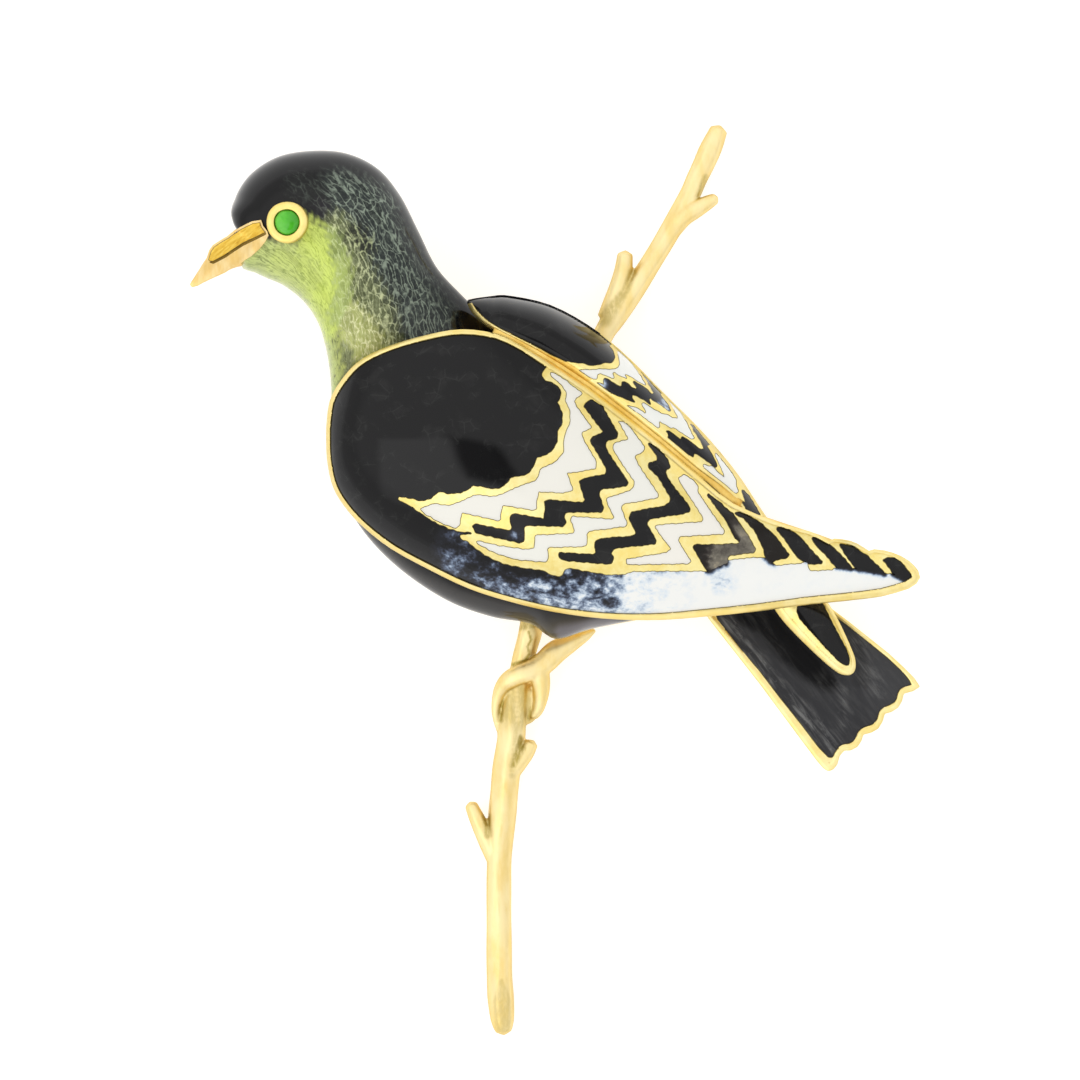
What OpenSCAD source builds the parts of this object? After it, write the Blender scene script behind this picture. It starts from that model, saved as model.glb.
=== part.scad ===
// Pigeon brooch: an enamelled bird on a twig, lying on its back.
// X runs from beak to tail, Y up along the twig, Z out of the front.
// The origin is the middle of the outline, on the surface that the back rests on.

/* [Overall] */
// Length from the top of the twig to its foot
overall_l = 70.15; // [60:0.05:84]
// Height of the near wing's crown above the resting surface
crown_h = 15.8; // [15:0.1:17]
// Clearance between pieces that are set together
gap = 0.06; // [0.04:0.01:0.12]

/* [Wings and tail] */
// Thickness of the near wing's plate
wing_t = 1.05; // [0.8:0.05:1.2]
// Thickness of the far wing's plate
far_wing_t = 0.85; // [0.7:0.05:0.95]
// Thickness of the tail plate
tail_t = 1.0; // [0.8:0.05:1.0]
// Scallops along the tail's end
tail_scallops = 5; // [3:1:7]

/* [Eye] */
// Outer diameter of the bezel
bezel_d = 3.2; // [2.8:0.05:3.4]
// Diameter of the stone
stone_d = 1.86; // [1.5:0.02:2.0]

/* [Pin fitting] */
// Diameter of the pin stem
pin_d = 0.8; // [0.6:0.05:0.9]
// Distance from the hinge to the catch
pin_l = 17.0; // [15:0.5:18]
// Outer diameter of the hinge barrel and of the catch
catch_d = 2.0; // [1.8:0.1:2.2]

/* [Hidden] */

// Plan tables count in small units from the top left of a square layout.
U = overall_l / 911;
MID = [556, 580.5];
ZS = crown_h / 15.8;
function plan(x, y) = [(x - MID[0]) * U, (MID[1] - y) * U];

GOLD = "#e6c668";
BLACK = "#2b2a2c";

// ---- smooth interpolation between the rows of a table ----
function row(t, i) = t[max(0, min(len(t) - 1, i))];
function blend(a, b, c, d, f) =
    0.5 * (2 * b + (c - a) * f + (2 * a - 5 * b + 4 * c - d) * f * f + (3 * b - a - 3 * c + d) * f * f * f);
function at(t, s) = let (i = min(len(t) - 2, floor(s)), f = s - i)
    blend(row(t, i - 1), row(t, i), row(t, i + 1), row(t, i + 2), f);

// ---- a closed skin over rings that all have m points ----
module skin(rings) {
    n = len(rings);
    m = len(rings[0]);
    polyhedron(
        points = [for (r = rings) each r],
        faces = concat(
            [for (i = [0:n - 2], k = [0:m - 1]) let (a = i * m + k, b = i * m + (k + 1) % m) [a, a + m, b]],
            [for (i = [0:n - 2], k = [0:m - 1]) let (a = i * m + k, b = i * m + (k + 1) % m) [b, a + m, b + m]],
            [for (k = [1:m - 2]) [0, k, k + 1]],
            [for (k = [1:m - 2]) [(n - 1) * m, (n - 1) * m + k + 1, (n - 1) * m + k]]
        ),
        convexity = 6
    );
}

// ---- body: sections from the face over head and neck to the rump ----
// back_x, back_y   edge on the crown, nape and back
// front_x, front_y edge on the throat, chest and belly
// mid_z  height of the widest line,  up  rise of the crest above it,  rear_z  height of the back
BODY = [
    [240, 223, 247, 266, 8.9, 1.3, 7.5],
    [234, 203, 254, 272, 8.8, 3.1, 5.9],
    [248, 177, 266, 278, 8.7, 4.2, 4.9],
    [275, 158, 284, 286, 8.6, 5.0, 4.3],
    [308, 151, 304, 302, 8.5, 5.4, 4.15],
    [345, 153, 318, 323, 8.4, 5.3, 4.15],
    [377, 168, 325, 345, 8.2, 5.1, 4.2],
    [400, 195, 329, 366, 8.0, 4.8, 4.2],
    [418, 230, 331, 388, 7.8, 4.3, 4.2],
    [436, 266, 331, 412, 7.4, 4.0, 4.2],
    [458, 291, 332, 438, 7.0, 4.0, 4.2],
    [482, 313, 335, 466, 6.6, 4.4, 4.2],
    [512, 331, 343, 494, 6.2, 5.0, 4.2],
    [546, 349, 358, 524, 5.9, 5.4, 4.2],
    [578, 372, 382, 553, 5.8, 5.6, 4.2],
    [608, 400, 414, 580, 5.8, 5.4, 4.2],
    [636, 432, 452, 603, 5.8, 5.0, 4.2],
    [660, 466, 492, 617, 5.8, 4.4, 4.2],
    [678, 500, 530, 624, 5.8, 3.8, 4.2],
    [688, 530, 556, 639, 5.8, 3.2, 4.2],
    [694, 556, 592, 629, 5.8, 2.7, 4.2],
    [696, 578, 640, 619, 5.8, 2.0, 4.3],
    [697, 592, 676, 610, 5.9, 1.2, 4.9],
];
BODY_N = 44;  // rings
BODY_M = 28;  // points round a ring

function body_ring(r, m) =
    let (a = plan(r[0], r[1]), b = plan(r[2], r[3]), c = (a + b) / 2, h = (a - b) / 2)
    [for (k = [0:m - 1]) let (t = 360 * k / m, co = cos(t), si = sin(t), low = si < -0.0001,
        p = low ? sign(co) * sqrt(abs(co)) : co,
        z = low ? r[4] - (r[4] - r[6]) * sqrt(abs(si)) : r[4] + r[5] * si)
        [c[0] + h[0] * p, c[1] + h[1] * p, z * ZS]];

module body()
    color(BLACK)
    skin([for (i = [0:BODY_N]) body_ring(at(BODY, i * (len(BODY) - 1) / BODY_N), BODY_M)]);

// ---- beak ----
// top_x, top_y, low_x, low_y, mid_z, half thickness
BEAK = [
    [237, 228, 245, 266, 8.9, 1.55],
    [224, 239, 233, 269, 8.9, 1.35],
    [208, 256, 216, 277, 8.8, 0.95],
    [198, 271, 204, 283, 8.7, 0.6],
    [191, 282, 193, 287, 8.6, 0.25],
];
function beak_ring(r, m) =
    let (a = plan(r[0], r[1]), b = plan(r[2], r[3]), c = (a + b) / 2, h = (a - b) / 2)
    [for (k = [0:m - 1]) let (t = 360 * k / m) [c[0] + h[0] * cos(t), c[1] + h[1] * cos(t), (r[4] - r[5] * sin(t)) * ZS]];

module beak()
    color(GOLD)
    skin([for (i = [0:12]) beak_ring(at(BEAK, i / 3), 14)]);

// ---- eye: a bezel ring on the head with a domed stone ----
EYE = [288.8, 223.6, 13.8];
EYE_TILT = -8;
module on_eye()
    translate([plan(EYE[0], EYE[1])[0], plan(EYE[0], EYE[1])[1], EYE[2] * ZS]) rotate([0, EYE_TILT, 0]) children();

module eye_bezel()
    color(GOLD) on_eye()
    difference() {
        union() {
            cylinder(d = bezel_d, h = 0.5, $fn = 64);
            translate([0, 0, 0.49]) cylinder(d1 = bezel_d, d2 = bezel_d - 0.4, h = 0.21, $fn = 64);
        }
        translate([0, 0, -1]) cylinder(d = stone_d + 2 * gap, h = 3, $fn = 64);
    }

module eye_stone()
    color("#55be2d") on_eye()
    rotate_extrude($fn = 48)
    intersection() {
        translate([0, -1.4]) circle(r = 2.15, $fn = 96);
        translate([0, 0.02]) square([stone_d / 2, 1.5]);
    }

// ---- wings: sections from the shoulder to the tip ----
// low_x, low_y, low_z  lower or outer rim
// top_x, top_y, top_z  upper or inner rim
// crown_z  height of the crest,  crown_w  its place from low (0) to top (1),  round  1 blade, 0.5 full dome
NEAR_WING = [
    [326.2, 436, 9.5, 326.2, 428, 9.5, 9.7, 0.5, 0.6],
    [327, 459, 9.4, 330, 401, 10.4, 11.1, 0.5, 0.55],
    [332, 484, 9.4, 342, 380, 11.5, 12.4, 0.5, 0.55],
    [342, 503, 9.5, 360, 361, 12.4, 13.4, 0.5, 0.58],
    [360, 524, 9.6, 388, 347, 13.1, 14.3, 0.52, 0.62],
    [390, 548, 9.7, 425, 336, 13.4, 15.1, 0.54, 0.68],
    [428, 569, 9.9, 462, 330, 13.3, 15.6, 0.56, 0.72],
    [470, 589, 10.0, 498.5, 335.5, 13.0, 15.8, 0.57, 0.75],
    [515, 603, 10.0, 539, 356.5, 12.7, 15.7, 0.58, 0.75],
    [560, 613, 9.9, 580, 382.5, 12.3, 15.3, 0.59, 0.76],
    [610, 619, 9.7, 620.5, 412.5, 11.9, 14.7, 0.6, 0.78],
    [660, 620, 9.6, 660, 443.5, 11.4, 13.9, 0.6, 0.8],
    [712, 616, 9.5, 696, 473.5, 10.9, 12.9, 0.6, 0.82],
    [760, 611, 9.4, 734, 504, 10.4, 11.8, 0.6, 0.85],
    [805, 605, 9.3, 775, 519, 9.9, 10.9, 0.6, 0.88],
    [845, 601, 9.2, 820, 534, 9.6, 10.3, 0.6, 0.9],
    [878, 597, 9.1, 858, 548, 9.45, 9.9, 0.6, 0.95],
    [902, 592, 9.05, 889, 553, 9.3, 9.6, 0.6, 1],
    [915, 586, 9.0, 909, 563, 9.2, 9.35, 0.6, 1],
    [920, 579, 9.0, 919, 575, 9.1, 9.1, 0.6, 1],
];
FAR_WING = [
    [468, 300, 9.5, 467, 303, 9.6, 9.7, 0.7, 0.6],
    [478, 298, 9.0, 472, 313, 10.7, 10.9, 0.8, 0.5],
    [492, 296.5, 8.4, 484, 325, 11.7, 12.0, 0.8, 0.5],
    [510, 296.5, 7.9, 499.5, 334, 12.3, 12.7, 0.8, 0.5],
    [550, 305.5, 7.2, 540, 355, 12.2, 12.9, 0.77, 0.5],
    [590, 327, 6.8, 581.5, 381, 11.9, 12.6, 0.75, 0.5],
    [625, 355, 6.7, 622, 411, 11.5, 12.1, 0.75, 0.5],
    [662, 392, 6.6, 661.5, 442, 11.0, 11.5, 0.76, 0.5],
    [700, 430, 6.6, 697.5, 472, 10.4, 10.8, 0.78, 0.5],
    [735, 470, 6.6, 734, 502, 9.1, 9.6, 0.78, 0.52],
    [762, 510, 6.5, 748, 534, 8.2, 8.5, 0.75, 0.56],
    [787, 545, 6.4, 758, 566, 7.3, 7.7, 0.7, 0.6],
    [812, 580, 6.4, 768, 596, 7.0, 7.5, 0.65, 0.7],
    [833, 610, 6.4, 780, 617, 6.9, 7.4, 0.6, 0.8],
    [848, 640, 6.45, 802, 641, 6.9, 7.3, 0.6, 0.9],
    [857, 663, 6.6, 830, 667, 6.85, 7.1, 0.55, 1],
    [858, 675, 6.7, 848, 679, 6.8, 6.9, 0.5, 1],
];
WING_N = 38;  // rings
WING_M = 10;  // steps from rim to rim

function wing_z(r, w) = w < r[7]
    ? r[2] + (r[6] - r[2]) * pow(max(0, 1 - pow((r[7] - w) / r[7], 2)), r[8])
    : r[6] - (r[6] - r[5]) * pow((w - r[7]) / (1 - r[7]), 2);

// a ring is the top from rim to rim, then the underside back again, set in a little from the rims
function wing_ring(r, m, t, inset, shift) =
    let (a = plan(r[0], r[1]), b = plan(r[3], r[4]), e = min(0.2, inset / max(0.5, norm(b - a))))
    concat(
        [for (j = [0:m]) let (w = (1 - cos(180 * j / m)) / 2, p = a + (b - a) * w) [p[0], p[1], wing_z(r, w) * ZS]],
        [for (j = [m:-1:0]) let (w = (1 - cos(180 * j / m)) / 2, p = a + (b - a) * (e + (1 - 2 * e) * w))
            [p[0] + shift, p[1], wing_z(r, w) * ZS - t]]
    );
function turned(r) = [for (i = [len(r) - 1:-1:0]) r[i]];
function wing_rings(tab, n, m, t, inset, shift, flip) =
    [for (i = [0:n]) let (s = i * (len(tab) - 1) / n, r = wing_ring(at(tab, s), m, t, inset, shift * max(0, 1 - s / 5)))
        flip ? turned(r) : r];

module left_wing()
    color("#3a393b")
    skin(wing_rings(NEAR_WING, WING_N, WING_M, wing_t, 0.4, 0.5, true));

module right_wing()
    color("#464448")
    skin(wing_rings(FAR_WING, WING_N, WING_M, far_wing_t, 0.3, 0.4, false));

// ---- tail: a flat plate with a scalloped end ----
TAIL_ROOT = [[706, 614], [760, 566]];      // corners under the wings
TAIL_END = [[829, 771], [920, 687]];       // corners at the scallops
TAIL_Z = 4.2;
function tail_edge(n) = let (a = TAIL_END[0], b = TAIL_END[1], d = (b - a) / n, out = [d[1], -d[0]] * -0.42)
    [for (i = [0:n - 1], k = [0:5]) let (f = k / 6, p = a + d * (i + f) + out * (sin(180 * f))) plan(p[0], p[1])];

module tail()
    color("#2f2e30")
    translate([0, 0, TAIL_Z * ZS])
    linear_extrude(tail_t)
    polygon(concat(
        [plan(TAIL_ROOT[1][0], TAIL_ROOT[1][1]), plan(TAIL_ROOT[0][0], TAIL_ROOT[0][1])],
        tail_edge(tail_scallops),
        [plan(TAIL_END[1][0], TAIL_END[1][1])]
    ));

// ---- branch: runs of short tapering lengths between round knuckles ----
// x, y, height of the axis, radius
TWIG = [
    [503, 1026, 0.75, 0.72], [501, 1006, 0.98, 0.98], [499, 955, 1.0, 0.96], [499, 900, 1.02, 0.93],
    [500, 850, 1.15, 0.95], [503, 800, 1.4, 0.96], [509, 757, 1.7, 1.0], [513, 727, 1.95, 1.02],
    [517, 695, 2.25, 0.92], [523, 662, 2.55, 0.84], [531, 628, 2.8, 0.8], [540, 590, 3.0, 0.8],
    [548, 545, 3.1, 0.8], [556, 490, 3.15, 0.8], [567, 430, 3.15, 0.8], [583, 378, 3.1, 0.8],
    [602, 338, 2.95, 0.8], [620, 309, 2.75, 0.82], [641, 278, 2.4, 0.8], [665, 240, 1.9, 0.78],
    [690, 197, 1.4, 0.78], [704, 166, 1.05, 0.79], [713, 144, 0.85, 0.8], [718, 133.5, 0.7, 0.66],
];
SIDE_TWIGS = [
    [[503, 782, 1.6, 0.6], [517, 763, 2.0, 0.62], [529, 750, 2.2, 0.56], [533, 743, 2.25, 0.42]],
    [[495, 852, 1.15, 0.6], [483, 832, 1.3, 0.56], [474, 815, 1.35, 0.5], [471, 807, 1.35, 0.4]],
    [[608, 314, 2.7, 0.66], [619, 287, 2.6, 0.62], [625.5, 262, 2.5, 0.52], [626, 253, 2.5, 0.45]],
    [[668, 230, 1.8, 0.6], [688, 211, 1.9, 0.62], [704, 203, 2.0, 0.55], [712, 198, 2.0, 0.42]],
];
LEG = [[588, 632, 3.3, 0.34], [572, 641, 3.25, 0.66], [554, 652, 3.3, 0.8], [539, 664, 3.4, 0.86], [528, 677, 3.35, 0.86]];
TOES = [
    [[532, 676, 3.6, 0.62], [512, 679, 3.55, 0.64], [500, 690, 3.0, 0.56], [495, 706, 2.3, 0.46], [497, 726, 1.8, 0.36]],
    [[537, 670, 3.5, 0.66], [541, 686, 3.0, 0.56], [540, 702, 2.4, 0.52], [533, 715, 2.0, 0.48]],
];
module knuckle(k) let (p = plan(k[0], k[1]))
    translate([p[0], p[1], k[2] * ZS]) sphere(r = k[3], $fn = 10);
module run(t) for (i = [0:len(t) - 2]) hull() { knuckle(t[i]); knuckle(t[i + 1]); }

module branch()
    color(GOLD)
    union() {
        run(TWIG);
        for (t = SIDE_TWIGS) run(t);
        run(LEG);
        for (t = TOES) run(t);
    }

// ---- pin fitting: hinge block, stem and catch as one plain piece across the back ----
PIN_AT = plan(495, 425);
PIN_TOP = 4.2;
module pin_fitting()
    color(GOLD)
    translate([PIN_AT[0], PIN_AT[1], 0])
    union() {
        // hinge block on its plate
        translate([-pin_l / 2 - 1.7, -1.7, PIN_TOP * ZS - gap - 0.5]) cube([3.4, 3.4, 0.5]);
        translate([-pin_l / 2 - 1, -1.2, catch_d / 2]) cube([2, 2.4, PIN_TOP * ZS - gap - 0.3 - catch_d / 2]);
        translate([-pin_l / 2, 1.2, catch_d / 2]) rotate([90, 0, 0]) cylinder(d = catch_d, h = 2.4, $fn = 48);
        // stem with its tip just past the catch
        translate([-pin_l / 2, 0, catch_d / 2]) rotate([0, 90, 0]) cylinder(d = pin_d, h = pin_l + 1.2, $fn = 32);
        translate([pin_l / 2 + 1.19, 0, catch_d / 2]) rotate([0, 90, 0]) cylinder(d1 = pin_d, d2 = 0.15, h = 1.3, $fn = 32);
        // catch: plate, post and hook round the stem
        translate([pin_l / 2 - 1.5, -1.5, PIN_TOP * ZS - gap - 0.5]) cube([3, 3, 0.5]);
        translate([pin_l / 2 - 0.7, -0.5, catch_d - 0.25]) cube([1.4, 1, PIN_TOP * ZS - gap - 0.3 - catch_d + 0.25]);
        translate([pin_l / 2 - 0.7, 0, catch_d / 2]) rotate([0, 90, 0]) cylinder(d = catch_d, h = 1.4, $fn = 48);
    }

body();
beak();
eye_bezel();
eye_stone();
left_wing();
right_wing();
tail();
branch();
pin_fitting();
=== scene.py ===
"""Enamelled pigeon brooch on a gold twig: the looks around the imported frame.

Plan tables count in the same small units as the part's own tables (U millimetres each, Y down).
Heights and thicknesses are millimetres. Everything ends in metres in the row frame.
"""
import math

import bpy
import numpy as np
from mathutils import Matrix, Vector
from mathutils.bvhtree import BVHTree
from mathutils.geometry import delaunay_2d_cdt


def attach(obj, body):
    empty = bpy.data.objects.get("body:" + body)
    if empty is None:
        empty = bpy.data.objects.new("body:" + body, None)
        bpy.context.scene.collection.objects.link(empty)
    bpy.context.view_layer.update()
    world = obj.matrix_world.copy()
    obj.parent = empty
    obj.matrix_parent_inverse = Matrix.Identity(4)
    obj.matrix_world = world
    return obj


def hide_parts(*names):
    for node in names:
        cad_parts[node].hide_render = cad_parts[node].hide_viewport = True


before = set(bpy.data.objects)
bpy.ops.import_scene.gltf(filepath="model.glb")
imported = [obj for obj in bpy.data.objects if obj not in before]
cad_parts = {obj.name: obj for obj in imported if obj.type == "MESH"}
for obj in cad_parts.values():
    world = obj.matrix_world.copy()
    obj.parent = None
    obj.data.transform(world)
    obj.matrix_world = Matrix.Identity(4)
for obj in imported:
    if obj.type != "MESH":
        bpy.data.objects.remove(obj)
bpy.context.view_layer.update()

MM = 0.001
U = 70.15 / 911
RNG = np.random.default_rng(7)
scene = bpy.context.scene


# ------------------------------------------------------------------ plan and curves
def plan(p):
    """Table units to millimetres in the row frame, for one point or an array of them."""
    p = np.asarray(p, float)
    out = p.copy()
    out[..., 0] = (p[..., 0] - 556) * U
    out[..., 1] = (580.5 - p[..., 1]) * U
    return out


def unplan(p):
    p = np.asarray(p, float)
    out = p.copy()
    out[..., 0] = p[..., 0] / U + 556
    out[..., 1] = 580.5 - p[..., 1] / U
    return out


def at(table, s):
    """Catmull-Rom between whole rows of a table, at the fractional row s."""
    t = np.asarray(table, float)
    i = min(len(t) - 2, int(math.floor(s)))
    f = s - i
    a, b, c, d = (t[max(0, min(len(t) - 1, i + k))] for k in (-1, 0, 1, 2))
    return 0.5 * (2 * b + (c - a) * f + (2 * a - 5 * b + 4 * c - d) * f * f + (3 * b - a - 3 * c + d) * f ** 3)


def rows(table, n):
    return np.array([at(table, i * (len(table) - 1) / n) for i in range(n + 1)])


def resample(line, step, closed=False):
    """Points along a polyline at about this spacing; corners are kept."""
    line = np.asarray(line, float)
    out = []
    n = len(line)
    for i in range(n if closed else n - 1):
        a, b = line[i], line[(i + 1) % n]
        k = max(1, int(math.ceil(np.linalg.norm((b - a)[:2]) / step)))
        out += [a + (b - a) * j / k for j in range(k)]
    if not closed:
        out.append(line[-1])
    return np.array(out)


def even(line, n, closed=False):
    """n points spread evenly along a polyline."""
    line = np.asarray(line, float)
    if closed:
        line = np.vstack([line, line[:1]])
    d = np.concatenate([[0], np.cumsum(np.linalg.norm(np.diff(line, axis=0), axis=1))])
    want = np.linspace(0, d[-1], n, endpoint=not closed)
    return np.array([[np.interp(w, d, line[:, k]) for k in range(line.shape[1])] for w in want])


def rounded(poly, r, steps=3):
    """Each corner of a closed outline cut by a small arc."""
    poly = np.asarray(poly, float)
    out = []
    n = len(poly)
    for i in range(n):
        a, b, c = poly[i - 1], poly[i], poly[(i + 1) % n]
        la, lc = np.linalg.norm(a - b), np.linalg.norm(c - b)
        if la < 1e-6 or lc < 1e-6:
            continue
        k = min(r, 0.42 * la, 0.42 * lc)
        p, q = b + (a - b) / la * k, b + (c - b) / lc * k
        for j in range(steps + 1):
            t = j / steps
            out.append(p * (1 - t) ** 2 + b * 2 * t * (1 - t) + q * t * t)
    return np.array(out)


def area2(poly):
    x, y = poly[:, 0], poly[:, 1]
    return float(np.sum(x * np.roll(y, -1) - y * np.roll(x, -1)))


def turned_left(poly):
    return poly if area2(poly) > 0 else poly[::-1]


def shrink(poly, d):
    """A closed outline moved inwards by d."""
    poly = turned_left(np.asarray(poly, float))
    t = np.roll(poly, -1, 0) - np.roll(poly, 1, 0)
    t /= np.maximum(1e-9, np.linalg.norm(t, axis=1))[:, None]
    d = np.asarray(d, float)
    if d.ndim:
        d = d[:, None]
    return poly + np.stack([-t[:, 1], t[:, 0]], 1) * d


def nearest(pts, line):
    """Distance to and index of the nearest point of a densely sampled line."""
    dist, idx = np.empty(len(pts)), np.empty(len(pts), int)
    for k in range(0, len(pts), 400):
        d2 = ((pts[k:k + 400, None, :] - line[None]) ** 2).sum(2)
        idx[k:k + 400] = d2.argmin(1)
        dist[k:k + 400] = np.sqrt(d2.min(1))
    return dist, idx


def offset(poly, d):
    """A closed outline moved inwards by d, one value or one a point, without folds at its tips."""
    d = np.broadcast_to(np.asarray(d, float), len(poly))
    p = shrink(poly, d)
    dist, idx = nearest(p, poly)
    return p[dist > 0.92 * d[idx] - 1e-6]


def inside(pts, poly):
    x, y = pts[:, 0], pts[:, 1]
    c = np.zeros(len(pts), bool)
    for i in range(len(poly)):
        (xi, yi), (xj, yj) = poly[i][:2], poly[i - 1][:2]
        if yi == yj:
            continue
        c ^= ((yi > y) != (yj > y)) & (x < (xj - xi) * (y - yi) / (yj - yi) + xi)
    return c


def near_lines(pts, segs):
    """Distance of each point to the nearest of many segments."""
    best = np.full(len(pts), 1e9)
    for a, b in segs:
        ab = b - a
        l2 = max(1e-12, float(ab @ ab))
        t = np.clip(((pts - a) @ ab) / l2, 0, 1)
        d = np.linalg.norm(pts - a - t[:, None] * ab, axis=1)
        best = np.minimum(best, d)
    return best


def smooth(x, a, b):
    t = np.clip((np.asarray(x, float) - a) / (b - a), 0, 1)
    return t * t * (3 - 2 * t)


def from_core(pts, core):
    """1 on a polyline of (x, y, radius, soft) and falling to 0 outside its radius."""
    out = np.zeros(len(pts))
    for p, q in zip(core[:-1], core[1:]):
        for t in np.linspace(0, 1, 7):
            x, y, r, s = [p[k] + (q[k] - p[k]) * t for k in range(4)]
            d = np.hypot(pts[:, 0] - x, pts[:, 1] - y)
            out = np.maximum(out, 1 - smooth(d, r, r + s))
    return out


# ------------------------------------------------------------------ meshes
def add(name, verts, faces, mats, ids=None, floats=None, colours=None, normals=None, stands_for=()):
    """A piece from millimetre points, riding on the root body."""
    me = bpy.data.meshes.new(name)
    me.from_pydata([tuple(v) for v in np.asarray(verts, float) * MM], [], [tuple(int(i) for i in f) for f in faces])
    for m in mats:
        me.materials.append(m)
    n = len(me.polygons)
    me.polygons.foreach_set("use_smooth", np.ones(n, bool))
    if ids is not None:
        me.polygons.foreach_set("material_index", np.asarray(ids, np.int32))
    for key, data in (floats or {}).items():
        a = me.attributes.new(key, "FLOAT", "POINT")
        a.data.foreach_set("value", np.asarray(data, np.float32).ravel())
    for key, data in (colours or {}).items():
        a = me.attributes.new(key, "FLOAT_VECTOR", "POINT")
        a.data.foreach_set("vector", np.asarray(data, np.float32).ravel())
    me.update()
    if normals is not None:
        me.normals_split_custom_set_from_vertices([tuple(v) for v in np.asarray(normals, float)])
    ob = bpy.data.objects.new(name, me)
    scene.collection.objects.link(ob)
    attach(ob, "root")
    if stands_for:
        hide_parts(*stands_for)
    return ob


class Heap:
    """Several closed or open bits gathered into one mesh."""

    def __init__(self):
        self.v, self.f, self.i = [], [], []
        self.n = 0

    def put(self, verts, faces, mat=0):
        self.v.append(np.asarray(verts, float))
        self.f += [tuple(int(k) + self.n for k in f) for f in faces]
        self.i += list(mat) if hasattr(mat, "__len__") else [mat] * len(faces)
        self.n += len(verts)

    def verts(self):
        return np.vstack(self.v)


def skin(rings, flip=False):
    """A closed skin over rings of the same number of points, with fans at both ends."""
    rings = np.asarray(rings, float)
    n, m = rings.shape[:2]
    verts = np.vstack([rings.reshape(-1, 3), rings[0].mean(0), rings[-1].mean(0)])
    f = []
    for i in range(n - 1):
        for k in range(m):
            a, b = i * m + k, i * m + (k + 1) % m
            f.append((a, a + m, b + m, b))
    c0, c1 = n * m, n * m + 1
    for k in range(m):
        f.append((c0, k, (k + 1) % m))
        f.append((c1, (n - 1) * m + (k + 1) % m, (n - 1) * m + k))
    if flip:
        f = [t[::-1] for t in f]
    return verts, f


def frames(path, closed, up):
    path = np.asarray(path, float)
    if closed:
        t = np.roll(path, -1, 0) - np.roll(path, 1, 0)
    else:
        t = np.gradient(path, axis=0)
    t /= np.maximum(1e-9, np.linalg.norm(t, axis=1))[:, None]
    up = np.broadcast_to(np.asarray(up, float), path.shape)
    side = np.cross(t, up)
    side /= np.maximum(1e-9, np.linalg.norm(side, axis=1))[:, None]
    v = np.cross(side, t)
    return t, side, v


def wire(path, wide, high, closed=True, seg=12, up=(0, 0, 1), facets=None, ends=0.6, flat=1.0):
    """A wire or twig of elliptic section along a path in millimetres; wide and high are half sizes."""
    path = np.asarray(path, float)
    n = len(path)
    wide, high = np.broadcast_to(np.asarray(wide, float), n), np.broadcast_to(np.asarray(high, float), n)
    t, side, v = frames(path, closed, up)
    ang = 2 * np.pi * np.arange(seg) / seg
    ca, sa = np.cos(ang), np.sin(ang)
    ca = np.sign(ca) * np.abs(ca) ** flat
    rings = []
    for i in range(n):
        k = np.ones(seg) if facets is None else facets(i / (n - 1), ang)
        rings.append(path[i] + side[i] * (wide[i] * ca * k)[:, None] + v[i] * (high[i] * sa * k)[:, None])
    rings = np.array(rings)
    f = []
    for i in range(n if closed else n - 1):
        j = (i + 1) % n
        for k in range(seg):
            l = (k + 1) % seg
            f.append((i * seg + k, i * seg + l, j * seg + l, j * seg + k))
    verts = rings.reshape(-1, 3)
    if not closed:
        caps = []
        for i, s in ((0, -1), (n - 1, 1)):
            caps.append(path[i] + t[i] * s * ends * min(wide[i], high[i]))
        verts = np.vstack([verts, caps])
        a, b = n * seg, n * seg + 1
        for k in range(seg):
            l = (k + 1) % seg
            f.append((a, l, k))
            f.append((b, (n - 1) * seg + k, (n - 1) * seg + l))
    return verts, f


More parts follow.
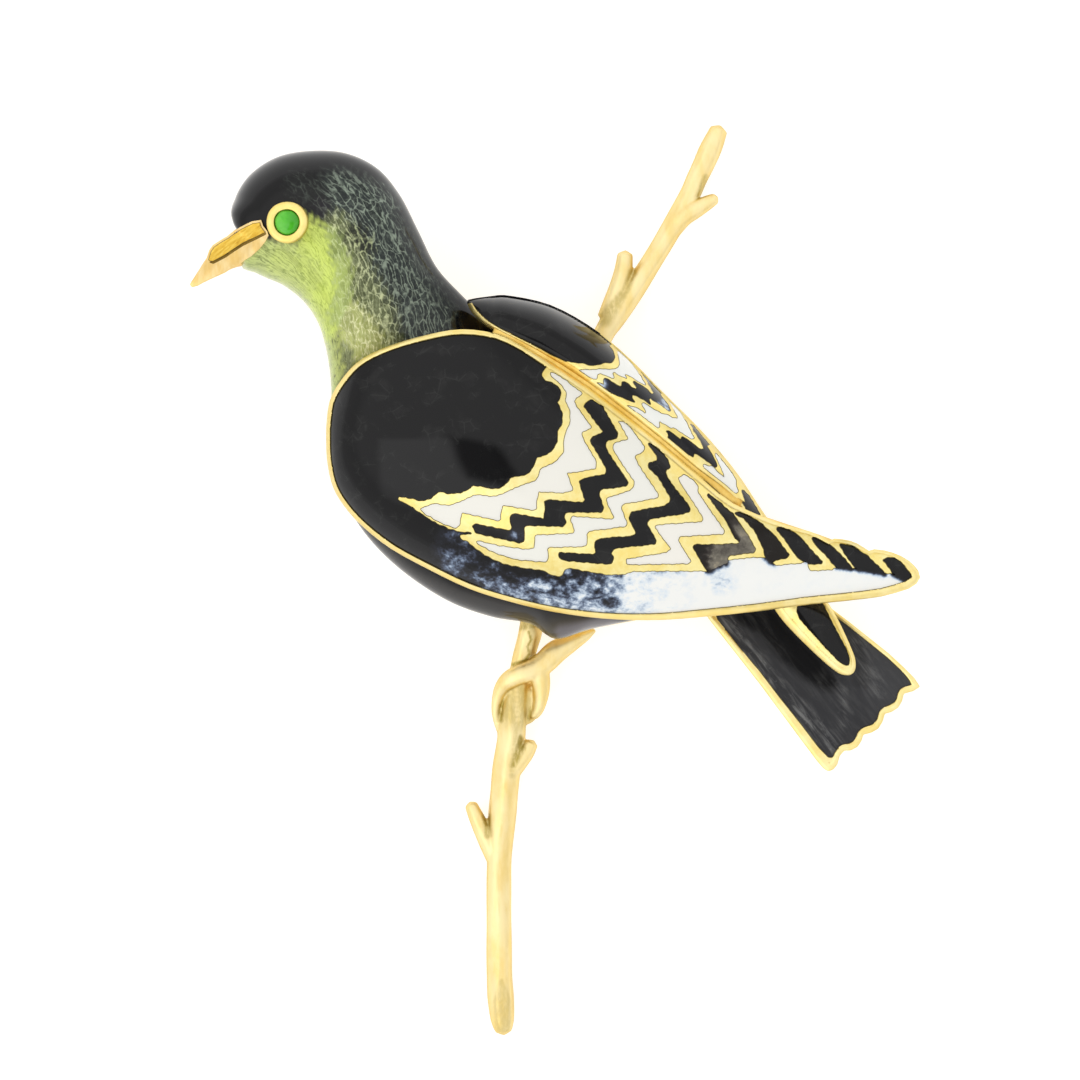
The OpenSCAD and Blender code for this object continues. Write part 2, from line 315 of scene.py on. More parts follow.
# ------------------------------------------------------------------ materials
class Tree:
    """A small helper to write a node material in few lines."""

    def __init__(self, name):
        self.m = bpy.data.materials.new(name)
        self.m.use_nodes = True
        self.t = self.m.node_tree
        self.t.nodes.clear()
        self.out = self.t.nodes.new("ShaderNodeOutputMaterial")
        self.b = self.t.nodes.new("ShaderNodeBsdfPrincipled")
        self.t.links.new(self.b.outputs[0], self.out.inputs[0])

    def new(self, kind, **kw):
        n = self.t.nodes.new(kind)
        for k, v in kw.items():
            setattr(n, k, v)
        return n

    def link(self, a, b):
        self.t.links.new(a, b)

    def put(self, socket, value):
        if hasattr(value, "is_output"):
            self.link(value, socket)
        else:
            socket.default_value = value

    def mm(self, scale=(1, 1, 1), turn=(0, 0, 0)):
        """Object coordinates in millimetres, stretched and turned."""
        c = self.new("ShaderNodeTexCoord")
        m = self.new("ShaderNodeMapping")
        m.inputs["Scale"].default_value = tuple(1000 * s for s in scale)
        m.inputs["Rotation"].default_value = turn
        self.link(c.outputs["Object"], m.inputs["Vector"])
        return m.outputs[0]

    def noise(self, vec, scale, detail=4, rough=0.5, distort=0.0):
        n = self.new("ShaderNodeTexNoise")
        n.inputs["Scale"].default_value = scale
        n.inputs["Detail"].default_value = detail
        n.inputs["Roughness"].default_value = rough
        n.inputs["Distortion"].default_value = distort
        self.link(vec, n.inputs["Vector"])
        return n.outputs["Fac"]

    def edges(self, vec, scale, rand=1.0):
        n = self.new("ShaderNodeTexVoronoi", feature="DISTANCE_TO_EDGE")
        n.inputs["Scale"].default_value = scale
        n.inputs["Randomness"].default_value = rand
        self.link(vec, n.inputs["Vector"])
        return n.outputs["Distance"]

    def cells(self, vec, scale, rand=1.0):
        n = self.new("ShaderNodeTexVoronoi", feature="F1")
        n.inputs["Scale"].default_value = scale
        n.inputs["Randomness"].default_value = rand
        self.link(vec, n.inputs["Vector"])
        s = self.new("ShaderNodeSeparateColor")
        self.link(n.outputs["Color"], s.inputs[0])
        return s.outputs[0]

    def math(self, op, a, b=None, c=None, clamp=False):
        n = self.new("ShaderNodeMath", operation=op, use_clamp=clamp)
        for i, v in enumerate((a, b, c)):
            if v is not None:
                self.put(n.inputs[i], v)
        return n.outputs[0]

    def span(self, x, a, b, lo=0.0, hi=1.0):
        n = self.new("ShaderNodeMapRange", interpolation_type="SMOOTHSTEP")
        self.put(n.inputs["Value"], x)
        n.inputs["From Min"].default_value, n.inputs["From Max"].default_value = a, b
        n.inputs["To Min"].default_value, n.inputs["To Max"].default_value = lo, hi
        return n.outputs["Result"]

    def mix(self, f, a, b, blend="MIX"):
        n = self.new("ShaderNodeMix", data_type="RGBA", blend_type=blend)
        self.put(n.inputs[0], f)
        self.put(n.inputs[6], a if hasattr(a, "is_output") else (*a, 1))
        self.put(n.inputs[7], b if hasattr(b, "is_output") else (*b, 1))
        return n.outputs[2]

    def ramp(self, f, stops):
        n = self.new("ShaderNodeValToRGB")
        e = n.color_ramp.elements
        while len(e) < len(stops):
            e.new(0.5)
        for k, (p, c) in zip(e, stops):
            k.position, k.color = p, (*c, 1)
        self.link(f, n.inputs[0])
        return n.outputs[0]

    def value(self, key):
        n = self.new("ShaderNodeAttribute", attribute_name=key, attribute_type="GEOMETRY")
        return n.outputs["Fac"]

    def vector(self, key):
        n = self.new("ShaderNodeAttribute", attribute_name=key, attribute_type="GEOMETRY")
        return n.outputs["Vector"]

    def colour(self, key):
        n = self.new("ShaderNodeAttribute", attribute_name=key, attribute_type="GEOMETRY")
        return n.outputs["Color"]

    def bump(self, h, strength, dist):
        n = self.new("ShaderNodeBump")
        n.inputs["Strength"].default_value = strength
        n.inputs["Distance"].default_value = dist * MM
        self.link(h, n.inputs["Height"])
        self.link(n.outputs[0], self.b.inputs["Normal"])


def gold(name, pale, deep, rough=(0.2, 0.34), grain=2.2, bump=0.25, streak=(1, 1, 1), turn=(0, 0, 0), even_=0.5, turn_away=0.85):
    """Softly polished cast gold: two shades in clouds, finer wear, a little grain, and a painted shade where the
    surface turns away from facing up.
    """
    t = Tree(name)
    v = t.mm(streak, turn)
    big = t.noise(v, 0.55, 3, 0.5)
    mid = t.noise(v, grain, 6, 0.62, 0.4)
    fine = t.noise(v, 9.0, 4, 0.6)
    k = t.math("ADD", t.math("MULTIPLY", big, 0.6), t.math("MULTIPLY", mid, 0.4))
    k = t.span(k, even_ - 0.16, even_ + 0.16)
    col = t.mix(k, deep, pale)
    col = t.mix(t.span(fine, 0.62, 0.8, 0, 0.35), col, tuple(c * 0.72 for c in deep))
    c = t.new("ShaderNodeTexCoord")
    sep_ = t.new("ShaderNodeSeparateXYZ")
    t.link(c.outputs["Normal"], sep_.inputs[0])
    # painted shade: the colour turns towards a darker, browner gold where the normal leans away from straight up
    away = t.span(t.math("ABSOLUTE", sep_.outputs[2]), 0.12, 0.86, 1.0, 0.0)
    t.away = t.math("MULTIPLY", away, t.span(mid, 0.25, 0.6, 0.75, 1.0))
    col = t.mix(t.math("MULTIPLY", t.away, turn_away), col, tuple(a_ * b_ for a_, b_ in zip(deep, (0.80, 0.76, 0.62))))
    t.link(col, t.b.inputs["Base Color"])
    t.b.inputs["Metallic"].default_value = 1.0
    r = t.span(mid, 0.3, 0.7, rough[0], rough[1])
    t.link(r, t.b.inputs["Roughness"])
    h = t.math("ADD", t.math("MULTIPLY", mid, 0.8), t.math("MULTIPLY", fine, 0.25))
    t.bump(h, bump, 0.05)
    return t.m


GOLD = gold("gold_polished", (0.99, 0.85, 0.42), (0.92, 0.73, 0.25), (0.32, 0.46), 2.0, 0.22)
GOLD_RIM = gold("gold_rim", (0.98, 0.84, 0.42), (0.91, 0.72, 0.25), (0.36, 0.50), 1.8, 0.25)
GOLD_WALL = gold("gold_cell_wall", (0.95, 0.84, 0.40), (0.88, 0.70, 0.22), (0.34, 0.48), 3.0, 0.35, turn_away=0.6)
# near-black olive gold for the walls of the cells and the groove sides of the ridge: painted shade standing in for the
# shadow in the gaps
GOLD_WALL_SHADE = gold("gold_wall_painted_shade", (0.26, 0.20, 0.055), (0.14, 0.11, 0.03), (0.35, 0.5), 3.0, 0.2)
GOLD_RIDGE = gold("gold_ridge", (0.96, 0.70, 0.22), (0.80, 0.50, 0.10), (0.36, 0.5), 2.6, 0.5, even_=0.5)
GOLD_TWIG = gold("gold_twig", (0.99, 0.83, 0.45), (0.92, 0.70, 0.27), (0.40, 0.54), 1.3, 0.35, (1.4, 0.5, 1.4), even_=0.47, turn_away=1.0)
# the twig's base colour darkens towards olive by the vertex value painted on the casting below: painted shade in its
# hollows
tw = Tree.__new__(Tree)
tw.m, tw.t = GOLD_TWIG, GOLD_TWIG.node_tree
tw.b = next(k for k in tw.t.nodes if k.bl_idname == "ShaderNodeBsdfPrincipled")
was = tw.b.inputs["Base Color"].links[0].from_socket
grit = tw.noise(tw.mm((1.5, 0.5, 1.5)), 3.2, 5, 0.6, 0.3)
hollow_shade = tw.math("MULTIPLY", tw.value("painted_shade"), tw.span(grit, 0.25, 0.6, 0.45, 1.0))
tw.link(tw.mix(hollow_shade, was, (0.36, 0.27, 0.035)), tw.b.inputs["Base Color"])
GOLD_BILL = gold("gold_bill", (0.93, 0.72, 0.36), (0.86, 0.58, 0.19), (0.28, 0.42), 2.4, 0.4, (2.0, 0.6, 1.0), (0, 0, 0.60))
GOLD_RING = gold("gold_ring", (0.96, 0.81, 0.32), (0.92, 0.73, 0.22), (0.42, 0.52), 2.2, 0.35, turn_away=1.0)
GOLD_BACK = gold("gold_back", (0.95, 0.76, 0.34), (0.86, 0.62, 0.2), (0.3, 0.44), 1.2, 0.3)
GOLD_PIN = gold("gold_pin", (0.96, 0.77, 0.34), (0.88, 0.64, 0.2), (0.18, 0.3), 1.8, 0.15, (0.4, 1.4, 1.4))


def engraved():
    """The upper bill: matt gold with short strokes along the bill."""
    t = Tree("gold_engraved")
    v = t.mm((1, 1, 1), (0, 0, math.radians(-38)))
    s = t.new("ShaderNodeMapping")
    s.inputs["Scale"].default_value = (0.5, 4.2, 1.0)
    t.link(v, s.inputs["Vector"])
    strokes = t.noise(s.outputs[0], 1.6, 5, 0.65, 0.3)
    big = t.noise(v, 0.9, 3, 0.5)
    col = t.ramp(t.math("ADD", t.math("MULTIPLY", strokes, 0.75), t.math("MULTIPLY", big, 0.25)),
                 [(0.28, (0.50, 0.28, 0.03)), (0.45, (0.76, 0.47, 0.06)), (0.58, (0.89, 0.62, 0.11)), (0.75, (0.96, 0.75, 0.22))])
    t.link(col, t.b.inputs["Base Color"])
    t.b.inputs["Metallic"].default_value = 1.0
    t.link(t.span(strokes, 0.3, 0.7, 0.5, 0.32), t.b.inputs["Roughness"])
    t.bump(strokes, 0.6, 0.06)
    return t.m


GOLD_ENGRAVED = engraved()
# dark brown gold for the mouth line of the bill and the walls of its cells: painted shade in the groove
GOLD_GROOVE_SHADE = gold("gold_hollow_painted_shade", (0.42, 0.27, 0.06), (0.22, 0.14, 0.03), (0.4, 0.55), 3.0, 0.3)
GOLD_GLINT = gold("gold_glint", (1.0, 0.95, 0.86), (1.0, 0.90, 0.70), (0.12, 0.2), 2.0, 0.05)


def wing_enamel():
    """Black to white by the vertex value tone, clouded with navy and pale blue by the value mottle."""
    t = Tree("enamel_wing")
    v = t.mm()
    tone, mottle = t.value("tone"), t.value("mottle")
    n1, n2 = t.noise(v, 0.62, 4, 0.6, 0.35), t.noise(v, 2.1, 5, 0.62, 0.2)
    n = t.math("ADD", t.math("MULTIPLY", n1, 0.6), t.math("MULTIPLY", n2, 0.4))
    n = t.math("MULTIPLY", t.math("SUBTRACT", n, 0.5), t.math("MULTIPLY", mottle, 3.0))
    k = t.math("ADD", tone, n, clamp=True)
    col = t.ramp(k, [(0.0, (0.0060, 0.0058, 0.0062)), (0.22, (0.013, 0.014, 0.019)), (0.38, (0.045, 0.055, 0.085)),
                     (0.52, (0.15, 0.195, 0.28)), (0.66, (0.38, 0.46, 0.57)), (0.82, (0.68, 0.74, 0.79)), (1.0, (0.825, 0.828, 0.800))])
    col = t.mix(1.0, col, t.vector("tint"), "MULTIPLY")
    lines = t.edges(t.mm((1, 1, 1), (0, 0, 0.4)), 0.85)
    faint = t.math("MULTIPLY", t.span(lines, 0.01, 0.05, 1, 0), t.span(n1, 0.50, 0.62))
    faint = t.math("MULTIPLY", faint, t.span(k, 0.02, 0.12, 0.30, 0))
    col = t.mix(faint, col, (0.045, 0.047, 0.044))
    haze = t.math("MULTIPLY", t.span(n1, 0.5, 0.72, 0, 0.6), t.span(k, 0.02, 0.12, 1, 0))
    col = t.mix(haze, col, (0.0175, 0.0172, 0.0170))
    t.link(col, t.b.inputs["Base Color"])
    t.link(t.span(n1, 0.3, 0.7, 0.06, 0.12), t.b.inputs["Roughness"])
    t.b.inputs["IOR"].default_value = 1.45
    t.b.inputs["Specular IOR Level"].default_value = 0.27
    t.bump(t.math("ADD", t.noise(v, 0.3, 2, 0.4), t.math("MULTIPLY", n2, 0.02)), 0.12, 0.08)
    return t.m


ENAMEL = wing_enamel()


def tail_enamel():
    """Translucent black over brushed metal: faint fibres along the tail, shown pale in bands of painted highlight, with
    the black lifted to grey except where a painted shadow falls beside the far wing tip.
    """
    t = Tree("enamel_tail")
    v = t.mm((1, 1, 1), (0, 0, math.radians(51)))
    s = t.new("ShaderNodeMapping")
    s.inputs["Scale"].default_value = (0.28, 1.8, 1.0)
    t.link(v, s.inputs["Vector"])
    fibre = t.noise(s.outputs[0], 1.5, 7, 0.62, 0.6)
    # the vertex value streak is a painted highlight: broad pale bands where the fibres show
    highlight_band = t.value("streak")
    fine = t.noise(t.mm(), 2.6, 6, 0.7, 0.8)
    # the black is lifted to grey by a vertex value that is lowered where a painted shadow falls beside the far wing tip
    base = t.mix(t.value("lift_less_painted_shadow"), (0.0045, 0.0044, 0.0048), (0.042, 0.042, 0.045))
    k = t.math("MULTIPLY", t.span(fibre, 0.40, 0.74, 0.0, 0.8), highlight_band)
    k = t.math("ADD", k, t.math("MULTIPLY", t.span(fine, 0.56, 0.76), t.math("MULTIPLY", highlight_band, 0.55)), clamp=True)
    col = t.mix(k, base, (0.23, 0.23, 0.225))
    t.link(col, t.b.inputs["Base Color"])
    t.link(t.span(fibre, 0.3, 0.7, 0.07, 0.13), t.b.inputs["Roughness"])
    t.b.inputs["IOR"].default_value = 1.45
    t.b.inputs["Specular IOR Level"].default_value = 0.25
    t.bump(t.noise(v, 0.35, 2, 0.4), 0.1, 0.08)
    return t.m


ENAMEL_TAIL = tail_enamel()


def body_enamel():
    """Translucent enamel: the vertex colour fill, under a net of fine lines that runs with the neck."""
    t = Tree("enamel_body")
    flow, net, slim = t.vector("flow"), t.value("net"), t.value("slim")
    warp = t.noise(t.mm(), 0.55, 3, 0.5)
    warp2 = t.noise(t.mm((1, 1, 1), (0, 0, 1.1)), 0.6, 3, 0.5)
    fine = t.noise(t.mm(), 2.6, 5, 0.65, 0.4)
    fine2 = t.noise(t.mm((1, 1, 1), (0.6, 0, 2.0)), 2.9, 4, 0.6, 0.4)
    push = t.new("ShaderNodeCombineXYZ")
    t.link(t.math("ADD", t.math("MULTIPLY", warp, 2.2), t.math("MULTIPLY", fine, 0.30)), push.inputs[0])
    t.link(t.math("ADD", t.math("MULTIPLY", warp2, 1.8), t.math("MULTIPLY", fine2, 0.30)), push.inputs[1])
    shift = t.new("ShaderNodeVectorMath", operation="ADD")
    t.link(flow, shift.inputs[0])
    t.link(push.outputs[0], shift.inputs[1])
    f = shift.outputs[0]

    def stretched(a, b):
        m = t.new("ShaderNodeMapping")
        m.inputs["Scale"].default_value = (a, b, 1)
        t.link(f, m.inputs["Vector"])
        return m.outputs[0]

    def between(k, a, b):
        m = t.new("ShaderNodeMix", data_type="FLOAT")
        t.link(k, m.inputs[0])
        t.link(a, m.inputs[2])
        t.link(b, m.inputs[3])
        return m.outputs[0]

    wide = t.span(t.edges(stretched(1.0, 1.35), 1.0, 0.9), 0.016, 0.10, 1, 0)
    long_ = t.span(t.edges(stretched(0.72, 1.9), 1.0, 0.95), 0.012, 0.10, 1, 0)
    thin = t.span(t.edges(stretched(0.42, 3.0), 1.0, 0.95), 0.0, 0.15, 1, 0)
    line = between(t.span(slim, 0.5, 0.9), between(t.span(slim, 0.15, 0.5), wide, long_), thin)
    line = t.math("MULTIPLY", line, net)
    line = t.math("MULTIPLY", line, t.span(fine, 0.36, 0.60, 0.30, 1.15), clamp=True)
    tiny = t.math("MULTIPLY", t.span(t.edges(stretched(2.4, 3.4), 1.0, 1.0), 0.0, 0.1, 0.30, 0), net)
    line = t.math("MAXIMUM", line, t.math("MULTIPLY", tiny, t.span(fine2, 0.46, 0.68)))
    cell = t.cells(stretched(1.0, 1.35), 1.0, 0.9)
    fill = t.mix(t.math("MULTIPLY", t.span(cell, 0.30, 0.95, 0.0, 0.62), net), t.vector("fill"), t.vector("deep"))
    cloud = t.math("MULTIPLY", t.span(fine, 0.46, 0.74, 0, 0.36), net)
    fill = t.mix(cloud, fill, t.vector("line"))
    col = t.mix(line, fill, t.vector("line"))
    t.link(col, t.b.inputs["Base Color"])
    t.link(t.span(fine, 0.3, 0.7, 0.06, 0.12), t.b.inputs["Roughness"])
    t.b.inputs["IOR"].default_value = 1.45
    t.b.inputs["Specular IOR Level"].default_value = 0.3
    t.bump(t.math("ADD", t.noise(t.mm(), 0.3, 2, 0.4), t.math("MULTIPLY", line, 0.015)), 0.15, 0.08)
    return t.m


ENAMEL_BODY = body_enamel()


def stone():
    t = Tree("stone_green")
    v = t.mm()
    n = t.noise(v, 1.1, 4, 0.6, 0.5)
    k = t.math("ADD", t.math("MULTIPLY", n, 0.5), t.math("MULTIPLY", t.value("side"), 0.5))
    col = t.ramp(k, [(0.25, (0.04, 0.30, 0.012)), (0.5, (0.075, 0.47, 0.022)), (0.72, (0.15, 0.60, 0.06))])
    t.link(col, t.b.inputs["Base Color"])
    t.link(t.span(n, 0.3, 0.7, 0.04, 0.09), t.b.inputs["Roughness"])
    t.b.inputs["IOR"].default_value = 1.56
    t.b.inputs["Specular IOR Level"].default_value = 0.35
    t.bump(n, 0.05, 0.05)
    return t.m


STONE = stone()


# ------------------------------------------------------------------ the frame's own tables
BODY = [
    [240, 223, 247, 266, 8.9, 1.3, 7.5], [234, 203, 254, 272, 8.8, 3.1, 5.9], [248, 177, 266, 278, 8.7, 4.2, 4.9],
    [275, 158, 284, 286, 8.6, 5.0, 4.3], [308, 151, 304, 302, 8.5, 5.4, 4.15], [345, 153, 318, 323, 8.4, 5.3, 4.15],
    [377, 168, 325, 345, 8.2, 5.1, 4.2], [400, 195, 329, 366, 8.0, 4.8, 4.2], [418, 230, 331, 388, 7.8, 4.3, 4.2],
    [436, 266, 331, 412, 7.4, 4.0, 4.2], [458, 291, 332, 438, 7.0, 4.0, 4.2], [482, 313, 335, 466, 6.6, 4.4, 4.2],
    [512, 331, 343, 494, 6.2, 5.0, 4.2], [546, 349, 358, 524, 5.9, 5.4, 4.2], [578, 372, 382, 553, 5.8, 5.6, 4.2],
    [608, 400, 414, 580, 5.8, 5.4, 4.2], [636, 432, 452, 603, 5.8, 5.0, 4.2], [660, 466, 492, 617, 5.8, 4.4, 4.2],
    [678, 500, 530, 624, 5.8, 3.8, 4.2], [688, 530, 556, 639, 5.8, 3.2, 4.2], [694, 556, 592, 629, 5.8, 2.7, 4.2],
    [696, 578, 640, 619, 5.8, 2.0, 4.3], [697, 592, 676, 610, 5.9, 1.2, 4.9],
]
BEAK = [
    [237, 228, 245, 266, 8.9, 1.55], [224, 239, 233, 269, 8.9, 1.35], [208, 256, 216, 277, 8.8, 0.95],
    [198, 271, 204, 283, 8.7, 0.6], [191, 282, 193, 287, 8.6, 0.25],
]
NEAR_WING = [
    [326.2, 436, 9.5, 326.2, 428, 9.5, 9.7, 0.5, 0.6], [327, 459, 9.4, 330, 401, 10.4, 11.1, 0.5, 0.55],
    [332, 484, 9.4, 342, 380, 11.5, 12.4, 0.5, 0.55], [342, 503, 9.5, 360, 361, 12.4, 13.4, 0.5, 0.58],
    [360, 524, 9.6, 388, 347, 13.1, 14.3, 0.52, 0.62], [390, 548, 9.7, 425, 336, 13.4, 15.1, 0.54, 0.68],
    [428, 569, 9.9, 462, 330, 13.3, 15.6, 0.56, 0.72], [470, 589, 10.0, 498.5, 335.5, 13.0, 15.8, 0.57, 0.75],
    [515, 603, 10.0, 539, 356.5, 12.7, 15.7, 0.58, 0.75], [560, 613, 9.9, 580, 382.5, 12.3, 15.3, 0.59, 0.76],
    [610, 619, 9.7, 620.5, 412.5, 11.9, 14.7, 0.6, 0.78], [660, 620, 9.6, 660, 443.5, 11.4, 13.9, 0.6, 0.8],
    [712, 616, 9.5, 696, 473.5, 10.9, 12.9, 0.6, 0.82], [760, 611, 9.4, 734, 504, 10.4, 11.8, 0.6, 0.85],
    [805, 605, 9.3, 775, 519, 9.9, 10.9, 0.6, 0.88], [845, 601, 9.2, 820, 534, 9.6, 10.3, 0.6, 0.9],
    [878, 597, 9.1, 858, 548, 9.45, 9.9, 0.6, 0.95], [902, 592, 9.05, 889, 553, 9.3, 9.6, 0.6, 1],
    [915, 586, 9.0, 909, 563, 9.2, 9.35, 0.6, 1], [920, 579, 9.0, 919, 575, 9.1, 9.1, 0.6, 1],
]
FAR_WING = [
    [468, 300, 9.5, 467, 303, 9.6, 9.7, 0.7, 0.6], [478, 298, 9.0, 472, 313, 10.7, 10.9, 0.8, 0.5],
    [492, 296.5, 8.4, 484, 325, 11.7, 12.0, 0.8, 0.5], [510, 296.5, 7.9, 499.5, 334, 12.3, 12.7, 0.8, 0.5],
    [550, 305.5, 7.2, 540, 355, 12.2, 12.9, 0.77, 0.5], [590, 327, 6.8, 581.5, 381, 11.9, 12.6, 0.75, 0.5],
    [625, 355, 6.7, 622, 411, 11.5, 12.1, 0.75, 0.5], [662, 392, 6.6, 661.5, 442, 11.0, 11.5, 0.76, 0.5],
    [700, 430, 6.6, 697.5, 472, 10.4, 10.8, 0.78, 0.5], [735, 470, 6.6, 734, 502, 9.1, 9.6, 0.78, 0.52],
    [762, 510, 6.5, 748, 534, 8.2, 8.5, 0.75, 0.56], [787, 545, 6.4, 758, 566, 7.3, 7.7, 0.7, 0.6],
    [812, 580, 6.4, 768, 596, 7.0, 7.5, 0.65, 0.7], [833, 610, 6.4, 780, 617, 6.9, 7.4, 0.6, 0.8],
    [848, 640, 6.45, 802, 641, 6.9, 7.3, 0.6, 0.9], [857, 663, 6.6, 830, 667, 6.85, 7.1, 0.55, 1],
    [858, 675, 6.7, 848, 679, 6.8, 6.9, 0.5, 1],
]


# ------------------------------------------------------------------ surfaces that carry the enamel
class Surface:
    """A height over the plan, from a grid of points (n, m, 3) in millimetres."""

    def __init__(self, grid):
        self.grid = grid = np.asarray(grid, float)
        n, m = grid.shape[:2]
        du, dv = np.gradient(grid, axis=0), np.gradient(grid, axis=1)
        nrm = np.cross(du, dv)
        if nrm[..., 2].mean() < 0:
            nrm = -nrm
        ln = np.linalg.norm(nrm, axis=2, keepdims=True)
        nrm = np.where(ln > 1e-9, nrm / np.maximum(ln, 1e-9), np.array([0, 0, 1.0]))
        self.p = grid.reshape(-1, 3)
        self.nrm = nrm.reshape(-1, 3)
        tri = []
        for i in range(n - 1):
            for k in range(m - 1):
                a = i * m + k
                tri += [(a, a + 1, a + m), (a + 1, a + m + 1, a + m)]
        self.tri = tri
        self.bvh = BVHTree.FromPolygons([(x, y, 0.0) for x, y, z in self.p], tri)

    def at(self, pts):
        """Heights and normals at plan points in millimetres; outside the grid, those of its nearest edge."""
        z, nr = np.empty(len(pts)), np.empty((len(pts), 3))
        for q, p in enumerate(pts):
            loc, _, idx, _ = self.bvh.find_nearest(Vector((p[0], p[1], 0.0)))
            ia, ib, ic = self.tri[idx]
            a, b, c = self.p[ia], self.p[ib], self.p[ic]
            e1, e2, d = b[:2] - a[:2], c[:2] - a[:2], np.array((loc[0], loc[1])) - a[:2]
            det = e1[0] * e2[1] - e1[1] * e2[0]
            if abs(det) < 1e-9:
                u, w = 0.0, 0.0
            else:
                u = min(1.0, max(0.0, (d[0] * e2[1] - d[1] * e2[0]) / det))
                w = min(1.0 - u, max(0.0, (e1[0] * d[1] - e1[1] * d[0]) / det))
            z[q] = a[2] * (1 - u - w) + b[2] * u + c[2] * w
            nn = self.nrm[ia] * (1 - u - w) + self.nrm[ib] * u + self.nrm[ic] * w
            nr[q] = nn / max(1e-9, np.linalg.norm(nn))
        return z, nr


class Calm:
    """The same surface, kept level over the last bit before an edge where it falls steeply."""

    def __init__(self, surf, edge, other, dist):
        self.surf, self.edge, self.dist = surf, edge, dist
        t = np.gradient(edge, axis=0)
        nr = np.stack([-t[:, 1], t[:, 0]], 1) / np.maximum(1e-9, np.linalg.norm(t, axis=1))[:, None]
        self.inn = nr * np.sign(((other - edge) * nr).sum(1))[:, None]

    def at(self, pts):
        pts = np.asarray(pts, float)
        d, i = nearest(pts, self.edge)
        into = ((pts - self.edge[i]) * self.inn[i]).sum(1)
        move = np.clip(self.dist - into, 0, 2 * self.dist) * (1 - smooth(d, 2.5 * self.dist, 4 * self.dist))
        z, n = self.surf.at(pts + move[:, None] * self.inn[i])
        k = np.clip(move / (0.28 * self.dist), 0, 1)[:, None]
        n = n * (1 - k) + np.column_stack([-0.62 * self.inn[i], np.full(len(pts), 0.78)]) * k
        return z, n / np.maximum(1e-9, np.linalg.norm(n, axis=1))[:, None]


def wing_z(r, w):
    lz, tz, cz, cw, rd = r[2], r[5], r[6], r[7], r[8]
    low = lz + (cz - lz) * np.maximum(0, 1 - ((cw - w) / cw) ** 2) ** rd
    return np.where(w < cw, low, cz - (cz - tz) * ((w - cw) / (1 - cw)) ** 2)


def wing_grid(table, n, m):
    out = []
    w = (1 - np.cos(np.pi * np.arange(m + 1) / m)) / 2
    for r in rows(table, n):
        a, b = plan(r[0:2]), plan(r[3:5])
        xy = a + (b - a) * w[:, None]
        out.append(np.column_stack([xy, wing_z(r, w)]))
    return np.array(out)


def wing_shell(table, n, m, t, inset, shift, drop):
    """The plate below the enamel: the CAD's rings with the top a little lower."""
    rings = []
    w = (1 - np.cos(np.pi * np.arange(m + 1) / m)) / 2
    for i, r in enumerate(rows(table, n)):
        s = i * (len(table) - 1) / n
        a, b = plan(r[0:2]), plan(r[3:5])
        e = min(0.2, inset / max(0.5, float(np.linalg.norm(b - a))))
        k = min(0.2, 0.10 / max(0.5, float(np.linalg.norm(b - a))))
        top = a + (b - a) * (k + (1 - 2 * k) * w)[:, None]
        low = a + (b - a) * (e + (1 - 2 * e) * w)[:, None] + np.array([shift * max(0, 1 - s / 5), 0])
        z = wing_z(r, w)
        rings.append(np.vstack([np.column_stack([top, z - drop]), np.column_stack([low, z - t])[::-1]]))
    return np.array(rings)


